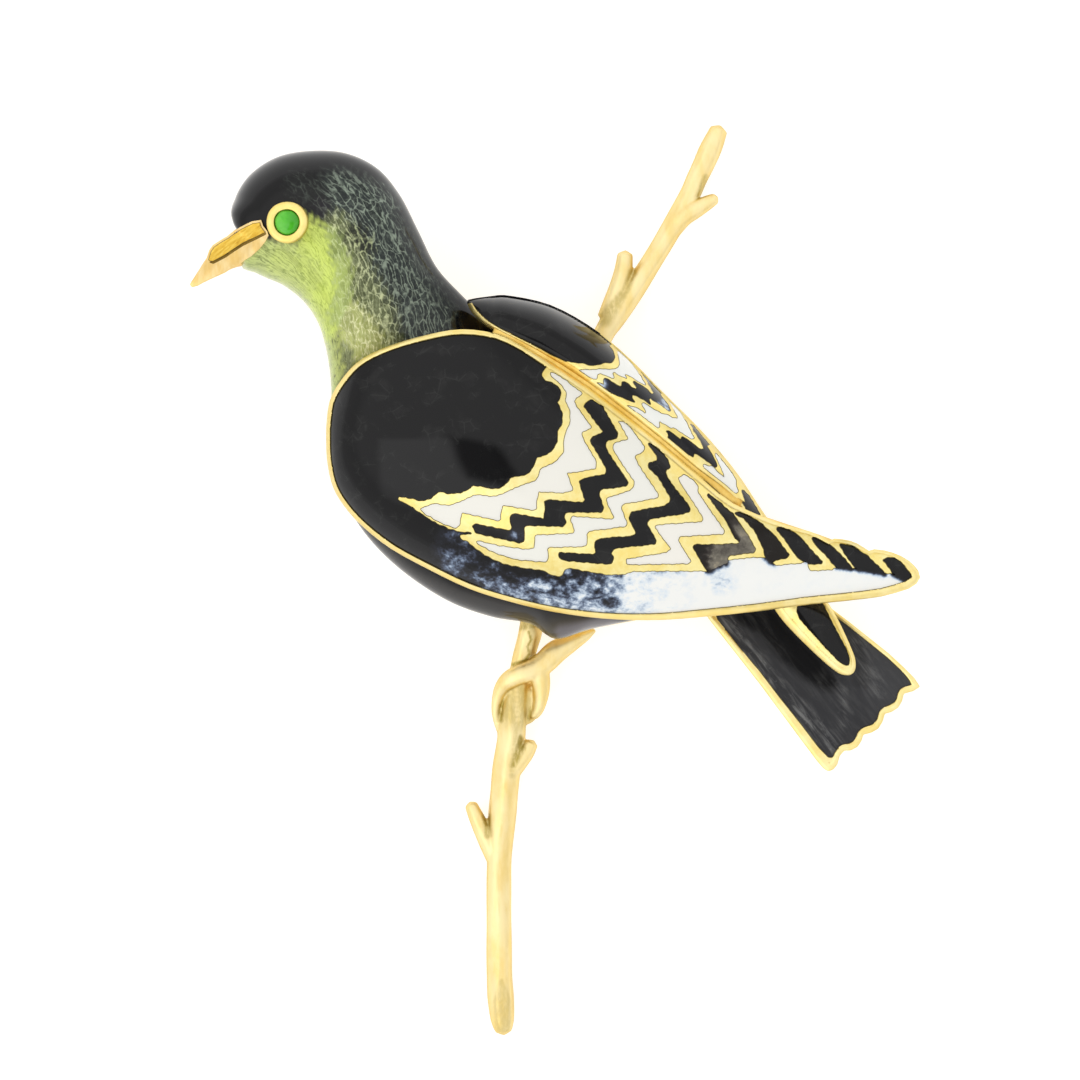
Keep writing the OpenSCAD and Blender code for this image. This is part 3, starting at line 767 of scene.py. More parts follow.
def inlay(name, surf, outline, regions, grid_pts, mats, gold_up=0.07, enamel_up=-0.01, bevel=0.05, rim=None, rim_h=0.13,
          skirt=0.22, floor_z=None, step=0.26, clear=0.1, stands_for=(), metal=None, wobble=0.0, still=None):
    """A skin over a surface, with cells of enamel let in between walls of metal, and a rounded rim.

    regions: list of dicts with poly (table units), tone, mottle, tint, up, mat; later ones win.
    rim: half its width in millimetres at a place in table units."""
    outline = resample(turned_left(np.asarray(outline, float)), step, True)
    loops = [outline]
    inner = None
    if rim is not None:
        wd = np.array([rim(x, y) for x, y in unplan(outline)])
        for _ in range(10):
            wd = (np.roll(wd, 1) + 2 * wd + np.roll(wd, -1)) / 4
        inner = offset(outline, 2 * wd)
        loops += [offset(outline, wd * k) for k in (0.35, 1.0, 1.65)] + [inner]
        tan = np.roll(outline, -1, 0) - np.roll(outline, 1, 0)
        tan /= np.maximum(1e-9, np.linalg.norm(tan, axis=1))[:, None]
        inward = np.stack([-tan[:, 1], tan[:, 0]], 1)
    polys = []
    for r in regions:
        p = turned_left(plan(r["poly"]))
        p = resample(p, 0.16, True) if wobble else p
        hx, hy = p[:, 0].copy(), p[:, 1].copy()
        p = p + wobble * np.column_stack([np.sin(9.7 * hx + 4.1 * hy) + np.sin(6.3 * hy - 11.2 * hx + 1), np.sin(8.9 * hy - 5.2 * hx + 2) + np.sin(12.1 * hx + 7.3 * hy)])
        polys.append(p)
        loops.append(resample(p, step, True))
    coords, edges = [], []
    for lp in loops:
        k = len(coords)
        coords += [Vector((p[0], p[1])) for p in lp]
        edges += [(k + i, k + (i + 1) % len(lp)) for i in range(len(lp))]
    g = grid_pts[inside(grid_pts, outline)]
    g = g[nearest(g, np.array([[c[0], c[1]] for c in coords]))[0] > clear + step * 0.3]
    coords += [Vector((p[0], p[1])) for p in g]
    vs, _, fs, _, _, _ = delaunay_2d_cdt(coords, edges, [], 0, 1e-5, True)
    xy = np.array([[v[0], v[1]] for v in vs])
    tri = np.array([f for f in fs if len(f) == 3])
    cen = xy[tri].mean(1)
    a, b, c = xy[tri[:, 0]], xy[tri[:, 1]], xy[tri[:, 2]]
    ar = (b[:, 0] - a[:, 0]) * (c[:, 1] - a[:, 1]) - (b[:, 1] - a[:, 1]) * (c[:, 0] - a[:, 0])
    tri[ar < 0] = tri[ar < 0][:, ::-1]
    keep = inside(cen, outline) & (np.abs(ar) > 1e-7)
    tri, cen = tri[keep], cen[keep]
    label = np.full(len(tri), -1)
    for i, p in enumerate(polys):
        label[inside(cen, p)] = i
    if inner is not None:
        label[~inside(cen, inner)] = -1
    up = np.array([gold_up if l < 0 else regions[l].get("up", enamel_up) for l in label])
    z, nrm = surf.at(xy)
    pxy = unplan(xy)
    raised, lean, dist = np.zeros(len(xy)), np.zeros((len(xy), 3)), np.full(len(xy), 9.0)
    if rim is not None:
        _, idx = nearest(xy, outline)
        dist = np.maximum(0, ((xy - outline[idx]) * inward[idx]).sum(1))
        w = wd[idx]
        x = dist / w - 1
        on = x < 0.999
        root = np.sqrt(np.clip(1 - x * x, 0.02, 1))
        high = rim_h * np.clip(w / 0.12, 0, 1)
        raised[on] = (high * np.sqrt(np.clip(1 - x * x, 0, 1)))[on]
        slope = np.clip(-high * x / (w * root), -1.3, 1.3)
        lean[on, :2] = (-slope[:, None] * inward[idx])[on]
        dist = dist / w
    steep = nrm / np.maximum(0.3, nrm[:, 2])[:, None]
    rim_nrm = steep + lean
    rim_nrm /= np.linalg.norm(rim_nrm, axis=1)[:, None]
    owner = {}
    for q, t in enumerate(tri):
        for i in range(3):
            owner.setdefault((min(t[i], t[(i + 1) % 3]), max(t[i], t[(i + 1) % 3])), []).append(q)

    V, N, F, ids, tone, mottle, tint = [], [], [], [], [], [], []

    def vert(p, n, tn, mo, ti):
        V.append(p)
        N.append(n)
        tone.append(tn)
        mottle.append(mo)
        tint.append(ti)
        return len(V) - 1

    def looks(i, l):
        if l < 0:
            return 0.0, 0.0, (1, 1, 1)
        r = regions[l]
        tn, mo = r.get("tone", 0.0), r.get("mottle", 0.0)
        if callable(tn):
            tn, mo = tn(pxy[i][0], pxy[i][1])
        return tn, mo, r.get("tint", (1, 1, 1))

    for level in sorted(set(np.round(up, 4))):
        mine = np.where(np.abs(up - level) < 1e-4)[0]
        is_metal = abs(level - gold_up) < 1e-4
        push = {}
        walls = []
        for q in mine:
            t = tri[q]
            for i in range(3):
                p0, p1 = t[i], t[(i + 1) % 3]
                others = [o for o in owner[(min(p0, p1), max(p0, p1))] if o != q]
                lower = None
                if not others:
                    lower = -skirt
                elif up[others[0]] < level - 1e-4:
                    lower = up[others[0]]
                if lower is None:
                    continue
                e = xy[p1] - xy[p0]
                inn = np.array([-e[1], e[0]]) / max(1e-9, np.linalg.norm(e))
                for p in (p0, p1):
                    push[p] = push.get(p, np.zeros(2)) + inn * (0.0 if (not others and rim is not None) else 1.0)
                walls.append((p0, p1, lower))
        out_of = {}
        for p in push:
            ln = np.linalg.norm(push[p])
            push[p] = push[p] / ln if ln > 0.3 else np.zeros(2)
            if still is not None and float(np.ravel(nearest(xy[p:p + 1], still)[0])[0]) < 0.32:
                push[p] = np.zeros(2)
        made, acc = {}, {}
        for q in mine:
            for p in tri[q]:
                acc.setdefault(p, []).append(looks(p, label[q]))
        for p, ls in acc.items():
            d = push.get(p, np.zeros(2)) * bevel
            n0 = rim_nrm[p] if is_metal else nrm[p]
            pos = np.array([xy[p][0] + d[0], xy[p][1] + d[1], z[p] + level + (raised[p] if is_metal else 0.0)])
            pos[2] -= (nrm[p][0] * d[0] + nrm[p][1] * d[1]) / max(0.25, nrm[p][2])
            tn = sum(l[0] for l in ls) / len(ls)
            mo = sum(l[1] for l in ls) / len(ls)
            ti = np.mean([l[2] for l in ls], 0)
            made[p] = vert(pos, n0, tn, mo, ti)
        for q in mine:
            F.append([made[p] for p in tri[q]])
            if label[q] < 0:
                m_ = mats["metal"]
                if metal is not None:
                    i0 = tri[q][0]
                    m_ = metal(*unplan(cen[q]), dist[tri[q]].mean())
                ids.append(m_)
            else:
                ids.append(regions[label[q]].get("mat", mats["enamel"]))
        foot, lip = {}, {}
        for p0, p1, lower in walls:
            edge = xy[p1] - xy[p0]
            side_ = np.array([edge[1], -edge[0]]) / max(1e-9, np.linalg.norm(edge))
            for p in (p0, p1):
                out = np.array([*(-push[p]), 0.0]) if np.abs(push[p]).max() > 0 else np.array([*side_, 0.0])
                if (p, lower) not in foot:
                    n1 = out * 0.85 + nrm[p] * 0.55
                    fz = z[p] + lower - 0.01
                    if floor_z is not None and lower == -skirt:
                        fz = min(fz, floor_z(xy[p])) if callable(floor_z) else floor_z
                    foot[(p, lower)] = vert(np.array([xy[p][0], xy[p][1], fz]), n1 / np.linalg.norm(n1), 0, 0, (1, 1, 1))
                if p not in lip:
                    n2 = out * 0.45 + nrm[p] * 0.9
                    lip[p] = vert(V[made[p]].copy(), n2 / np.linalg.norm(n2), 0, 0, (1, 1, 1))
            # each wall face takes the skirt material at the outer edge, else the side material, a dark painted shade in
            # the gaps
            F.append([foot[(p0, lower)], foot[(p1, lower)], lip[p1], lip[p0]])
            ids.append(mats["skirt"] if lower == -skirt and "skirt" in mats else mats["side"])
    return add(name, V, F, mats["list"], ids, {"tone": tone, "mottle": mottle}, {"tint": tint}, N, stands_for)


# ------------------------------------------------------------------ body
def body_rings(n, m):
    out = []
    for r in rows(BODY, n):
        a, b = plan(r[0:2]), plan(r[2:4])
        c, h = (a + b) / 2, (a - b) / 2
        ang = 2 * np.pi * np.arange(m) / m
        co, si = np.cos(ang), np.sin(ang)
        low = si < -1e-6
        p = np.where(low, np.sign(co) * np.sqrt(np.abs(co)), co)
        z = np.where(low, r[4] - (r[4] - r[6]) * np.sqrt(np.abs(si)), r[4] + r[5] * si)
        out.append(np.column_stack([c[0] + h[0] * p, c[1] + h[1] * p, z]))
    return np.array(out)


BN, BM = 280, 150
rings = body_rings(BN, BM)
for (x_, y_), rad, (dx_, dy_) in (((247, 260), 17, (-4.2, 3.6)), ((240, 219), 22, (-4.7, 0.0))):
    c_ = plan((x_, y_))
    w_ = 1 - smooth(np.linalg.norm(rings[..., :2] - c_, axis=-1), 0.15 * rad * U, rad * U)
    rings[..., 0] += w_ * dx_ * U
    rings[..., 1] -= w_ * dy_ * U
verts, faces = skin(rings)
ids = []
for i in range(BN):
    for k in range(BM):
        mid = (k + 0.5) * 2 * math.pi / BM
        ids.append(1 if math.sin(mid) < -0.42 else 0)
ids += [0, 0] * BM
q = unplan(verts[:, :2])

# soft strokes of colour over the neck, painted one after the other:
# line of (x, y, radius, soft edge), strength, enamel, lines in it, how much net, how slim its meshes
STROKES = [
    ([(340, 190, 8, 22), (368, 216, 22, 24), (388, 262, 22, 24), (412, 312, 30, 22), (384, 352, 44, 18)], 0.95,
     (0.024, 0.031, 0.029), (0.25, 0.30, 0.235), 0.95, 0.15),
    ([(404, 214, 4, 14), (424, 256, 4, 16), (446, 296, 6, 16)], 0.6, (0.008, 0.009, 0.009), (0.07, 0.08, 0.07), 0.35, 0.4),
    ([(300, 186, 6, 14), (318, 196, 6, 14)], 0.8, (0.010, 0.011, 0.010), (0.07, 0.085, 0.07), 0.6, 0.1),
    ([(322, 206, 3, 8), (330, 224, 3, 8)], 0.8, (0.014, 0.012, 0.016), (0.12, 0.13, 0.11), 0.6, 0.1),
    ([(258, 256, 10, 12), (284, 262, 14, 14), (300, 272, 18, 14)], 1.0, (0.53, 0.61, 0.21), (0.17, 0.21, 0.06), 0.8, 0.95),
    ([(338, 224, 5, 12), (349, 246, 7, 14), (356, 284, 12, 18), (368, 318, 19, 18), (372, 346, 22, 16)], 0.85,
     (0.11, 0.13, 0.05), (0.58, 0.62, 0.33), 1.0, 0.25),
    ([(326, 322, 10, 10), (336, 350, 16, 12), (338, 388, 20, 12)], 0.95, (0.50, 0.56, 0.17), (0.10, 0.12, 0.035), 0.9, 0.6),
    ([(350, 314, 8, 10), (362, 336, 13, 12), (374, 354, 10, 10)], 0.85, (0.42, 0.46, 0.14), (0.84, 0.84, 0.48), 1.0, 0.3),
    ([(346, 350, 3, 6), (351, 372, 3, 6), (341, 392, 3, 6)], 0.75, (0.055, 0.065, 0.045), (0.40, 0.44, 0.22), 0.9, 0.5),
    ([(246, 268, 5, 8), (268, 280, 6, 9), (294, 296, 7, 9), (313, 318, 7, 9), (322, 346, 6, 9), (326, 372, 5, 8), (328, 396, 5, 9), (331, 410, 3, 34)], 0.9,
     (0.51, 0.59, 0.20), (0.20, 0.25, 0.08), 0.7, 0.8),
    ([(308, 226, 3, 10), (317, 244, 13, 12), (325, 270, 19, 13), (328, 298, 15, 12), (323, 328, 7, 12)], 1.0,
     (0.60, 0.71, 0.155), (0.30, 0.38, 0.06), 0.8, 0.45),
    ([(316, 264, 7, 16), (328, 286, 9, 14)], 0.75, (0.62, 0.74, 0.15), (0.36, 0.46, 0.07), 0.8, 0.5),
    ([(286, 266, 9, 16), (304, 276, 12, 14)], 0.75, (0.56, 0.65, 0.18), (0.24, 0.31, 0.07), 0.85, 0.9),
    ([(334, 234, 3, 8), (342, 262, 4, 8), (344, 292, 4, 8), (336, 318, 4, 8)], 0.7, (0.26, 0.33, 0.10), (0.66, 0.74, 0.36), 1.0, 0.2),
    ([(354, 232, 5, 6), (366, 246, 6, 7)], 0.85, (0.010, 0.011, 0.008), (0.36, 0.40, 0.20), 0.9, 0.1),
    ([(333, 248, 2, 4), (336, 256, 2, 4)], 0.6, (0.08, 0.11, 0.03), (0.5, 0.6, 0.25), 0.9, 0.1),
    ([(346, 508, 3, 8), (372, 548, 4, 10), (410, 580, 5, 12), (456, 602, 7, 12), (500, 616, 11, 12), (546, 632, 12, 20)], 0.9,
     (0.042, 0.039, 0.037), (0.04, 0.04, 0.04), 0.0, 0.0),
    # a painted reflection: the gold of the leg and twig mirrored olive-brown in the black belly
    ([(512, 626, 3, 18), (548, 638, 7, 12), (578, 630, 2, 26)], 0.8, (0.080, 0.068, 0.046), (0.04, 0.04, 0.04), 0.0, 0.0),
    ([(562, 632, 2, 9), (588, 628, 3, 9), (612, 622, 1, 14)], 0.9, (0.150, 0.137, 0.145), (0.04, 0.04, 0.04), 0.0, 0.0),
]
qx, qy = q[:, 0], q[:, 1]
q = q + 2.3 * np.column_stack([np.sin(0.61 * qx + 0.33 * qy) + np.sin(0.27 * qx - 0.74 * qy + 1), np.sin(0.36 * qx - 0.58 * qy + 2) + np.sin(0.83 * qx + 0.29 * qy)]) * (1 - smooth(qy, 400, 440))[:, None]
fill = np.tile(np.array([0.0055, 0.0053, 0.0056]), (len(verts), 1))
line_c = np.tile(np.array([0.05, 0.055, 0.05]), (len(verts), 1))
netted, slim = np.zeros(len(verts)), np.full(len(verts), 0.3)
for core, k, fc, lc, nt, sl in STROKES:
    a = k * from_core(q, core)
    if core[0][1] > 450:
        a = a * smooth(verts[:, 2], 5.0, 6.4)
    fill += (np.array(fc) - fill) * a[:, None]
    line_c += (np.array(lc) - line_c) * a[:, None]
    netted += (nt - netted) * a
    slim += (sl - slim) * a

step_s = np.concatenate([[0], np.cumsum(np.linalg.norm(np.diff(rings.mean(1), axis=0), axis=1))])
flow = np.zeros((len(verts), 3))
for i in range(BN + 1):
    ring = rings[i]
    half = np.linalg.norm(ring[0] - ring[BM // 2]) / 2
    ang = 2 * np.pi * np.arange(BM) / BM
    flow[i * BM:(i + 1) * BM, 0] = step_s[i]
    flow[i * BM:(i + 1) * BM, 1] = half * 1.35 * np.abs(ang - math.pi)
body = add("bird_body", verts, faces, [ENAMEL_BODY, GOLD_BACK], ids,
           {"net": netted, "slim": slim}, {"fill": fill, "line": line_c, "deep": fill * np.clip(0.35 + 0.62 * fill[:, 1:2], 0.35, 0.72), "flow": flow}, None, ("body",))
BODY_TREE = BVHTree.FromPolygons([tuple(v) for v in verts], faces)


def on_body(x, y, default=8.0):
    """Height of the body's front at a plan point in millimetres."""
    hit = BODY_TREE.ray_cast(Vector((x, y, 40.0)), Vector((0, 0, -1)))
    return hit[0][2] if hit[0] is not None else default


# a plain gold wire where the enamel ends and the closed back begins
seam = []
for i in range(30, BN - 8, 2):
    seam.append(rings[i][int(BM * (0.5 + 0.075))])
seam2 = []
for i in range(30, BN - 8, 2):
    seam2.append(rings[i][int(BM * (1 - 0.075))])
loop = np.array(seam + seam2[::-1])
v, f = wire(loop, 0.11, 0.11, True, 8)
add("back_wire", v, f, [GOLD])

# ------------------------------------------------------------------ bill
BILL_TOP = [(262, 221), (253, 222.2), (246, 225.5), (240, 228.5), (235, 231.5), (228, 236.5), (220, 241), (213, 245.5), (209.5, 250.5), (207, 258),
            (204, 264.5), (200, 271), (196, 276), (192, 281), (190, 284.5)]
BILL_LOW = [(192, 287.5), (198, 286), (205, 282), (215, 277.5), (225, 273), (232, 268.5), (238, 266), (245, 261), (252, 257), (260, 250),
            (266, 243), (269.5, 236.5), (268, 232), (264, 227)]
MOUTH = [(268.5, 236), (258, 241.5), (250, 246), (240, 251), (230, 256), (220, 260.5), (212, 264), (206, 266)]


def bill_rings(n, m, grow=0.0):
    out = []
    for r in rows(BEAK, n):
        a, b = plan(r[0:2]), plan(r[2:4])
        c, h = (a + b) / 2, (a - b) / 2
        ang = 2 * np.pi * np.arange(m) / m
        k = 1 + grow / max(0.15, float(np.linalg.norm(h)))
        out.append(np.column_stack([c[0] + h[0] * k * np.cos(ang), c[1] + h[1] * k * np.cos(ang), r[4] - (r[5] + grow) * np.sin(ang)]))
    return np.array(out)


bill_surface = []
gx = np.linspace(186, 274, 89)
gy = np.linspace(216, 292, 77)
bill_tree_v, bill_tree_f = skin(bill_rings(48, 48))
BILL_TREE = BVHTree.FromPolygons([tuple(v) for v in bill_tree_v], bill_tree_f)


TIP, ROOT = np.array((191.0, 286.0)), np.array((268.0, 233.0))
AXIS = (ROOT - TIP) / np.linalg.norm(ROOT - TIP)


def bill_height(x, y):
    """A ridge that climbs from the tip on to the face."""
    d = np.array((x, y)) - TIP
    t_ = float(np.clip(d @ AXIS / np.linalg.norm(ROOT - TIP), -0.05, 1.1))
    off = float(d @ np.array((-AXIS[1], AXIS[0]))) * U
    own = 8.75 + 4.7 * max(0.0, t_) ** 1.12 - 0.30 * off * off
    p = plan((x, y))
    hit = BODY_TREE.ray_cast(Vector((p[0], p[1], 40.0)), Vector((0, 0, -1)))
    face = hit[0][2] + 0.10 if hit[0] is not None else None
    return own if face is None else max(own, face)


H = np.full((len(gx), len(gy)), np.nan)
for i, x in enumerate(gx):
    for k, y in enumerate(gy):
        h = bill_height(x, y)
        if h is not None:
            H[i, k] = h
for _ in range(60):
    bad = np.isnan(H)
    if not bad.any():
        break
    pad = np.pad(H, 1, constant_values=np.nan)
    near = np.stack([pad[:-2, 1:-1], pad[2:, 1:-1], pad[1:-1, :-2], pad[1:-1, 2:]])
    cnt = (~np.isnan(near)).sum(0)
    mean = np.nansum(near, 0) / np.maximum(cnt, 1)
    H = np.where(bad & (cnt > 0), mean, H)
H = np.nan_to_num(H, nan=8.8)
for _ in range(3):
    pad = np.pad(H, 1, mode="edge")
    H = np.maximum(H, 0.25 * (pad[:-2, 1:-1] + pad[2:, 1:-1] + pad[1:-1, :-2] + pad[1:-1, 2:])) * 0.5 + 0.5 * 0.25 * (
        pad[:-2, 1:-1] + pad[2:, 1:-1] + pad[1:-1, :-2] + pad[1:-1, 2:])
GX, GY = np.meshgrid(gx, gy, indexing="ij")
bill_surf = Surface(np.dstack([plan(np.dstack([GX, GY])), H]))
v, f = skin(bill_rings(40, 28, -0.02))
add("bill_core", v, f, [GOLD_BILL], stands_for=("beak",))
UPPER = [(261.7, 221.7), (264, 226), (264.8, 230), (267, 233.2), (256, 238.5), (250, 241), (243.3, 244.2), (234, 250), (225, 256), (213.3, 262),
         (209.5, 261.5), (207.8, 258.3), (209.2, 252.5), (211.7, 247.5), (217, 243.5), (223.3, 240), (230.5, 236.8), (238.3, 232.3), (243.3, 227.5), (253.3, 222.8)]
GLINT = [(240.5, 229.5), (238, 232.4), (230.5, 236.6), (223.3, 239.8), (217, 243.3), (212.5, 246.6), (214, 245), (221, 241.2), (229, 236.6), (235.6, 231.8), (238, 229.5)]
groove = [(267, 233.4), (256, 238.7), (250, 241.2), (243.3, 244.4), (234, 250.2), (225, 256.2), (213.3, 262.2), (210, 262.4), (213.8, 263.6), (226, 257.4),
          (234.6, 251.6), (244, 245.8), (256.6, 240), (267.4, 234.6)]
fine = np.stack(np.meshgrid(np.arange(187, 272, 1.5), np.arange(218, 290, 1.5), indexing="ij"), -1).reshape(-1, 2)
outline = plan(np.array(BILL_TOP + BILL_LOW, float))
# the groove of the mouth line and the walls are painted shade (dark gold); the glint patch is a painted highlight
# (near-white gold)
inlay("bill", bill_surf, outline,
      [{"poly": rounded(UPPER, 0.8, 2), "up": 0.12, "mat": 1}, {"poly": groove, "up": -0.06, "mat": 2}, {"poly": GLINT, "up": 0.03, "mat": 3}],
      plan(fine), {"list": [GOLD_BILL, GOLD_ENGRAVED, GOLD_GROOVE_SHADE, GOLD_GLINT], "metal": 0, "enamel": 1, "side": 2, "skirt": 0},
      gold_up=0.04, bevel=0.05, rim=lambda x, y: 0.08, rim_h=0.03,
      skirt=0.5, floor_z=8.75, step=0.13, clear=0.02)

# ------------------------------------------------------------------ eye
EYE = np.array([*plan((288.8, 223.6)), 13.8])
TILT = math.radians(-8)


def eye_place(p):
    x, y, z = p[:, 0], p[:, 1], p[:, 2]
    return np.column_stack([x * math.cos(TILT) + z * math.sin(TILT), y, -x * math.sin(TILT) + z * math.cos(TILT)]) + EYE


def turned_ring(profile, n, wobble=0.0, phase=0.0):
    """A profile of (radius, height) turned about Z, closed on itself."""
    prof = np.asarray(profile, float)
    out = []
    for i in range(n):
        a = 2 * math.pi * i / n
        k = 1 + wobble * (math.sin(3 * a + phase) + 0.6 * math.sin(5 * a + 2.1 + phase))
        out.append(np.column_stack([prof[:, 0] * k * math.cos(a), prof[:, 0] * k * math.sin(a), prof[:, 1]]))
    out = np.array(out)
    m = len(prof)
    f = []
    for i in range(n):
        for k in range(m):
            j, l = (i + 1) % n, (k + 1) % m
            f.append((i * m + k, j * m + k, j * m + l, i * m + l))
    return out.reshape(-1, 3), f


prof = [(0.995, 0.0), (0.995, 0.40), (0.995, 0.58), (1.01, 0.635), (1.05, 0.668), (1.12, 0.682), (1.25, 0.69), (1.40, 0.68), (1.48, 0.655),
        (1.545, 0.60), (1.585, 0.52), (1.60, 0.42), (1.60, 0.2), (1.60, 0.0), (1.45, -0.35), (1.2, -0.5), (1.0, -0.35)]
v, f = turned_ring(prof, 128, 0.0075)
add("eye_ring", eye_place(v), f, [GOLD_RING], stands_for=("eye_bezel",))
dome = []
for j in range(25):
    a = math.pi / 2 * j / 24
    dome.append((0.955 * math.cos(a) ** 0.8, 0.42 + 0.24 * math.sin(a)))
dome = [(0.955, 0.02), (0.955, 0.2)] + dome
m = 96
dv, df = [], []
for j, (r, h) in enumerate(dome[:-1]):
    for i in range(m):
        a = 2 * math.pi * i / m
        k = 1 + 0.010 * math.sin(3 * a + 1) + 0.010 * math.sin(7 * a) - 0.02 * max(0.0, math.cos(a - 3.9)) ** 6
        dv.append((r * k * math.cos(a), r * k * math.sin(a), h))
top = len(dv)
dv.append((0, 0, dome[-1][1]))
nj = len(dome) - 1
for j in range(nj - 1):
    for i in range(m):
        l = (i + 1) % m
        df.append((j * m + i, j * m + l, (j + 1) * m + l, (j + 1) * m + i))
for i in range(m):
    df.append(((nj - 1) * m + i, (nj - 1) * m + (i + 1) % m, top))
df.append(tuple(range(m - 1, -1, -1)))
dv = np.array(dv)
side = 0.5 - dv[:, 0] / 2.0
add("eye_gem", eye_place(dv), df, [STONE], None, {"side": side}, None, None, ("eye_stone",))

# ------------------------------------------------------------------ near wing
near_grid = wing_grid(NEAR_WING, 300, 72)
near = Surface(near_grid)
low_edge = near_grid[:, 0, :2]
top_edge = near_grid[:, -1, :2]
TIP_TOP = [(762, 516.7), (770, 520), (778, 522.8), (787, 525.5), (796.7, 528.2), (803, 529.6), (810, 531.5), (820, 536), (828.7, 540.9), (834, 538.6),
           (842, 539.2), (850, 540.7), (857, 543.5), (863.3, 547.3), (868.7, 550.8), (874, 549.2), (884, 550.3), (892.7, 552.7), (901, 556), (908.7, 560.7),
           (914.5, 566), (918, 570.5), (919.8, 577), (916.7, 583.2), (908.7, 588.7), (895.3, 592.9)]
near_out = [p for p in unplan(low_edge[::5]) if p[0] < 887] + [np.array(p, float) for p in TIP_TOP[::-1]]
cut = [p for p in unplan(top_edge[::-5]) if p[0] < 757]
near_out = turned_left(plan(np.array(near_out + cut)))
d = np.linalg.norm(near_out - np.roll(near_out, 1, 0), axis=1)
near_out = near_out[d > 0.05]
near_out = resample(near_out, 0.2, True)


def ridge_mask(p):
    """1 where the two wings lie side by side."""
    px = unplan(p)
    return smooth(px[:, 0], 484, 500) * (1 - smooth(px[:, 0], 700, 735)) * (px[:, 1] < 500)


near_out = shrink(near_out, -0.055 * ridge_mask(near_out))

PATCH = [(545.5, 368.2), (542.3, 371.5), (541.5, 376.4), (544.7, 381.3), (551.8, 383.2), (558.9, 388), (561.3, 394.2), (559.8, 399.2), (556.8, 403), (559, 406.7),
         (562, 413.8), (562.4, 423), (557.4, 431), (556.6, 437),
         (557.5, 442.5), (551.5, 451.5), (543, 456), (536.5, 457.5), (532.5, 468.5), (526.5, 474.5), (519, 476.3), (511, 477.6), (506, 484.2),
         (500, 488.3), (493, 489), (484, 487), (473.5, 485.3), (469, 489), (461, 493), (450, 494), (439.5, 491.6), (435, 495), (431.5, 499),
         (422, 501), (413, 498.8), (406, 497.2), (399, 497)]
UNDER = [(397.5, 499.5), (402, 502), (410, 506), (422, 514.3), (434.5, 522.5), (450.5, 529.5), (463, 532.8), (471, 532.6), (471, 533.6), (460, 535),
         (461, 539), (470, 543.5), (477, 550), (489.5, 558), (504, 564.3), (524, 568.4), (542.5, 570.5), (551, 575.3), (562, 577), (564, 571.5),
         (568, 568), (585, 571.5), (610, 575.5), (626, 574.3), (632, 572), (660, 571.5), (690, 571.5), (707, 571.4), (716.7, 566.8), (726, 563.2),
         (727.4, 560.8), (745, 558.3), (764.7, 557.5), (768.5, 560), (772.7, 562.6), (775, 565.8), (800.7, 563.5), (806.8, 561.6), (807.8, 565), (808.7, 571),
         (820, 570.8), (831.3, 570.3), (836, 567.4), (845, 567.8), (852.5, 568.4), (855, 568.8), (868, 570.6), (884, 573.6), (887.5, 574), (891.9, 573.4),
         (898, 577), (905, 580.5), (909, 582)]

CENTRE = [(400, 545), (600, 560)]
field = PATCH + UNDER + [(925, 590), (900, 640), (600, 660), (400, 620), (300, 540), (300, 400), (350, 320), (470, 290), (530, 325), (552, 362)]

BAND1 = [(551, 372.8), (559, 376.2), (571.3, 385.3), (582, 394.2), (576.7, 397.8), (573.5, 401.3), (576, 406.7), (591.5, 427.5), (581, 433), (583.3, 441), (596.5, 462),
         (595, 469), (567, 473.5), (573, 490.5), (564, 493), (538, 491.8), (536, 509.5), (534, 510.3), (502, 505), (500.5, 520), (498, 520.5),
         (461.5, 512.5), (460.5, 524), (457, 528.5), (442.5, 523.5), (426, 514.3), (420.5, 508.8), (434, 504), (450.5, 506), (463, 501), (475, 495),
         (484, 496), (495.5, 497), (504, 494), (511.8, 490), (524, 484.7), (536.5, 481), (541.5, 469), (554.5, 463.5), (563.5, 453), (564.5, 436),
         (567, 430), (570.8, 421), (569.6, 410.2), (565.3, 401.5), (567, 394.2), (564.2, 388.9), (559, 383.2), (551.5, 376.2)]
ZZ1 = [(590.5, 399.5), (602.5, 407), (604, 411), (618, 434.5), (616, 438.8), (606, 441.5), (605.5, 449), (628, 483.5), (626, 486.3), (601, 489.5),
       (598.5, 494), (603, 508), (601.5, 512.3), (567, 512.2), (563.3, 515.3), (566, 522.5), (563, 526.5), (527, 525.3), (524.3, 527.5),
       (524.2, 540.5), (520.5, 543), (476, 533), (473, 526), (475, 524), (509, 530.8), (512, 528), (510, 517), (514, 513.7), (544.5, 519.3),
       (545, 501.5), (547.5, 500), (582.5, 503), (585, 500.5), (579.3, 482), (581.3, 479.5), (605, 474.6), (606.8, 470), (589.6, 441),
       (591.5, 437.6), (601, 433.8), (603, 432), (584, 407), (584.5, 405)]
BAND2 = [(618, 421), (625.5, 423.5), (632, 430), (644, 447), (643, 451.5), (634.5, 456), (636.5, 462.5), (658, 495), (657, 498), (623.5, 504),
         (620.5, 508), (626.5, 524), (625.5, 526.3), (589, 531), (586.5, 533.5), (587, 543.5), (585, 546.3), (549.5, 547.3), (547.5, 549),
         (547.5, 559.5), (546.5, 562), (516, 559.3), (495.5, 553), (478.5, 544), (477, 541), (500, 546), (524, 549.4), (534.3, 549),
         (535.3, 535.5), (573, 533.7), (575, 530.5), (571, 520), (572, 516.7), (612, 519.5), (614, 518), (607.5, 504), (606, 498.5), (631, 490.5),
         (634, 487), (634, 482), (631, 477.5), (612.5, 449.5), (614.5, 443.5), (628, 440), (627.5, 437)]
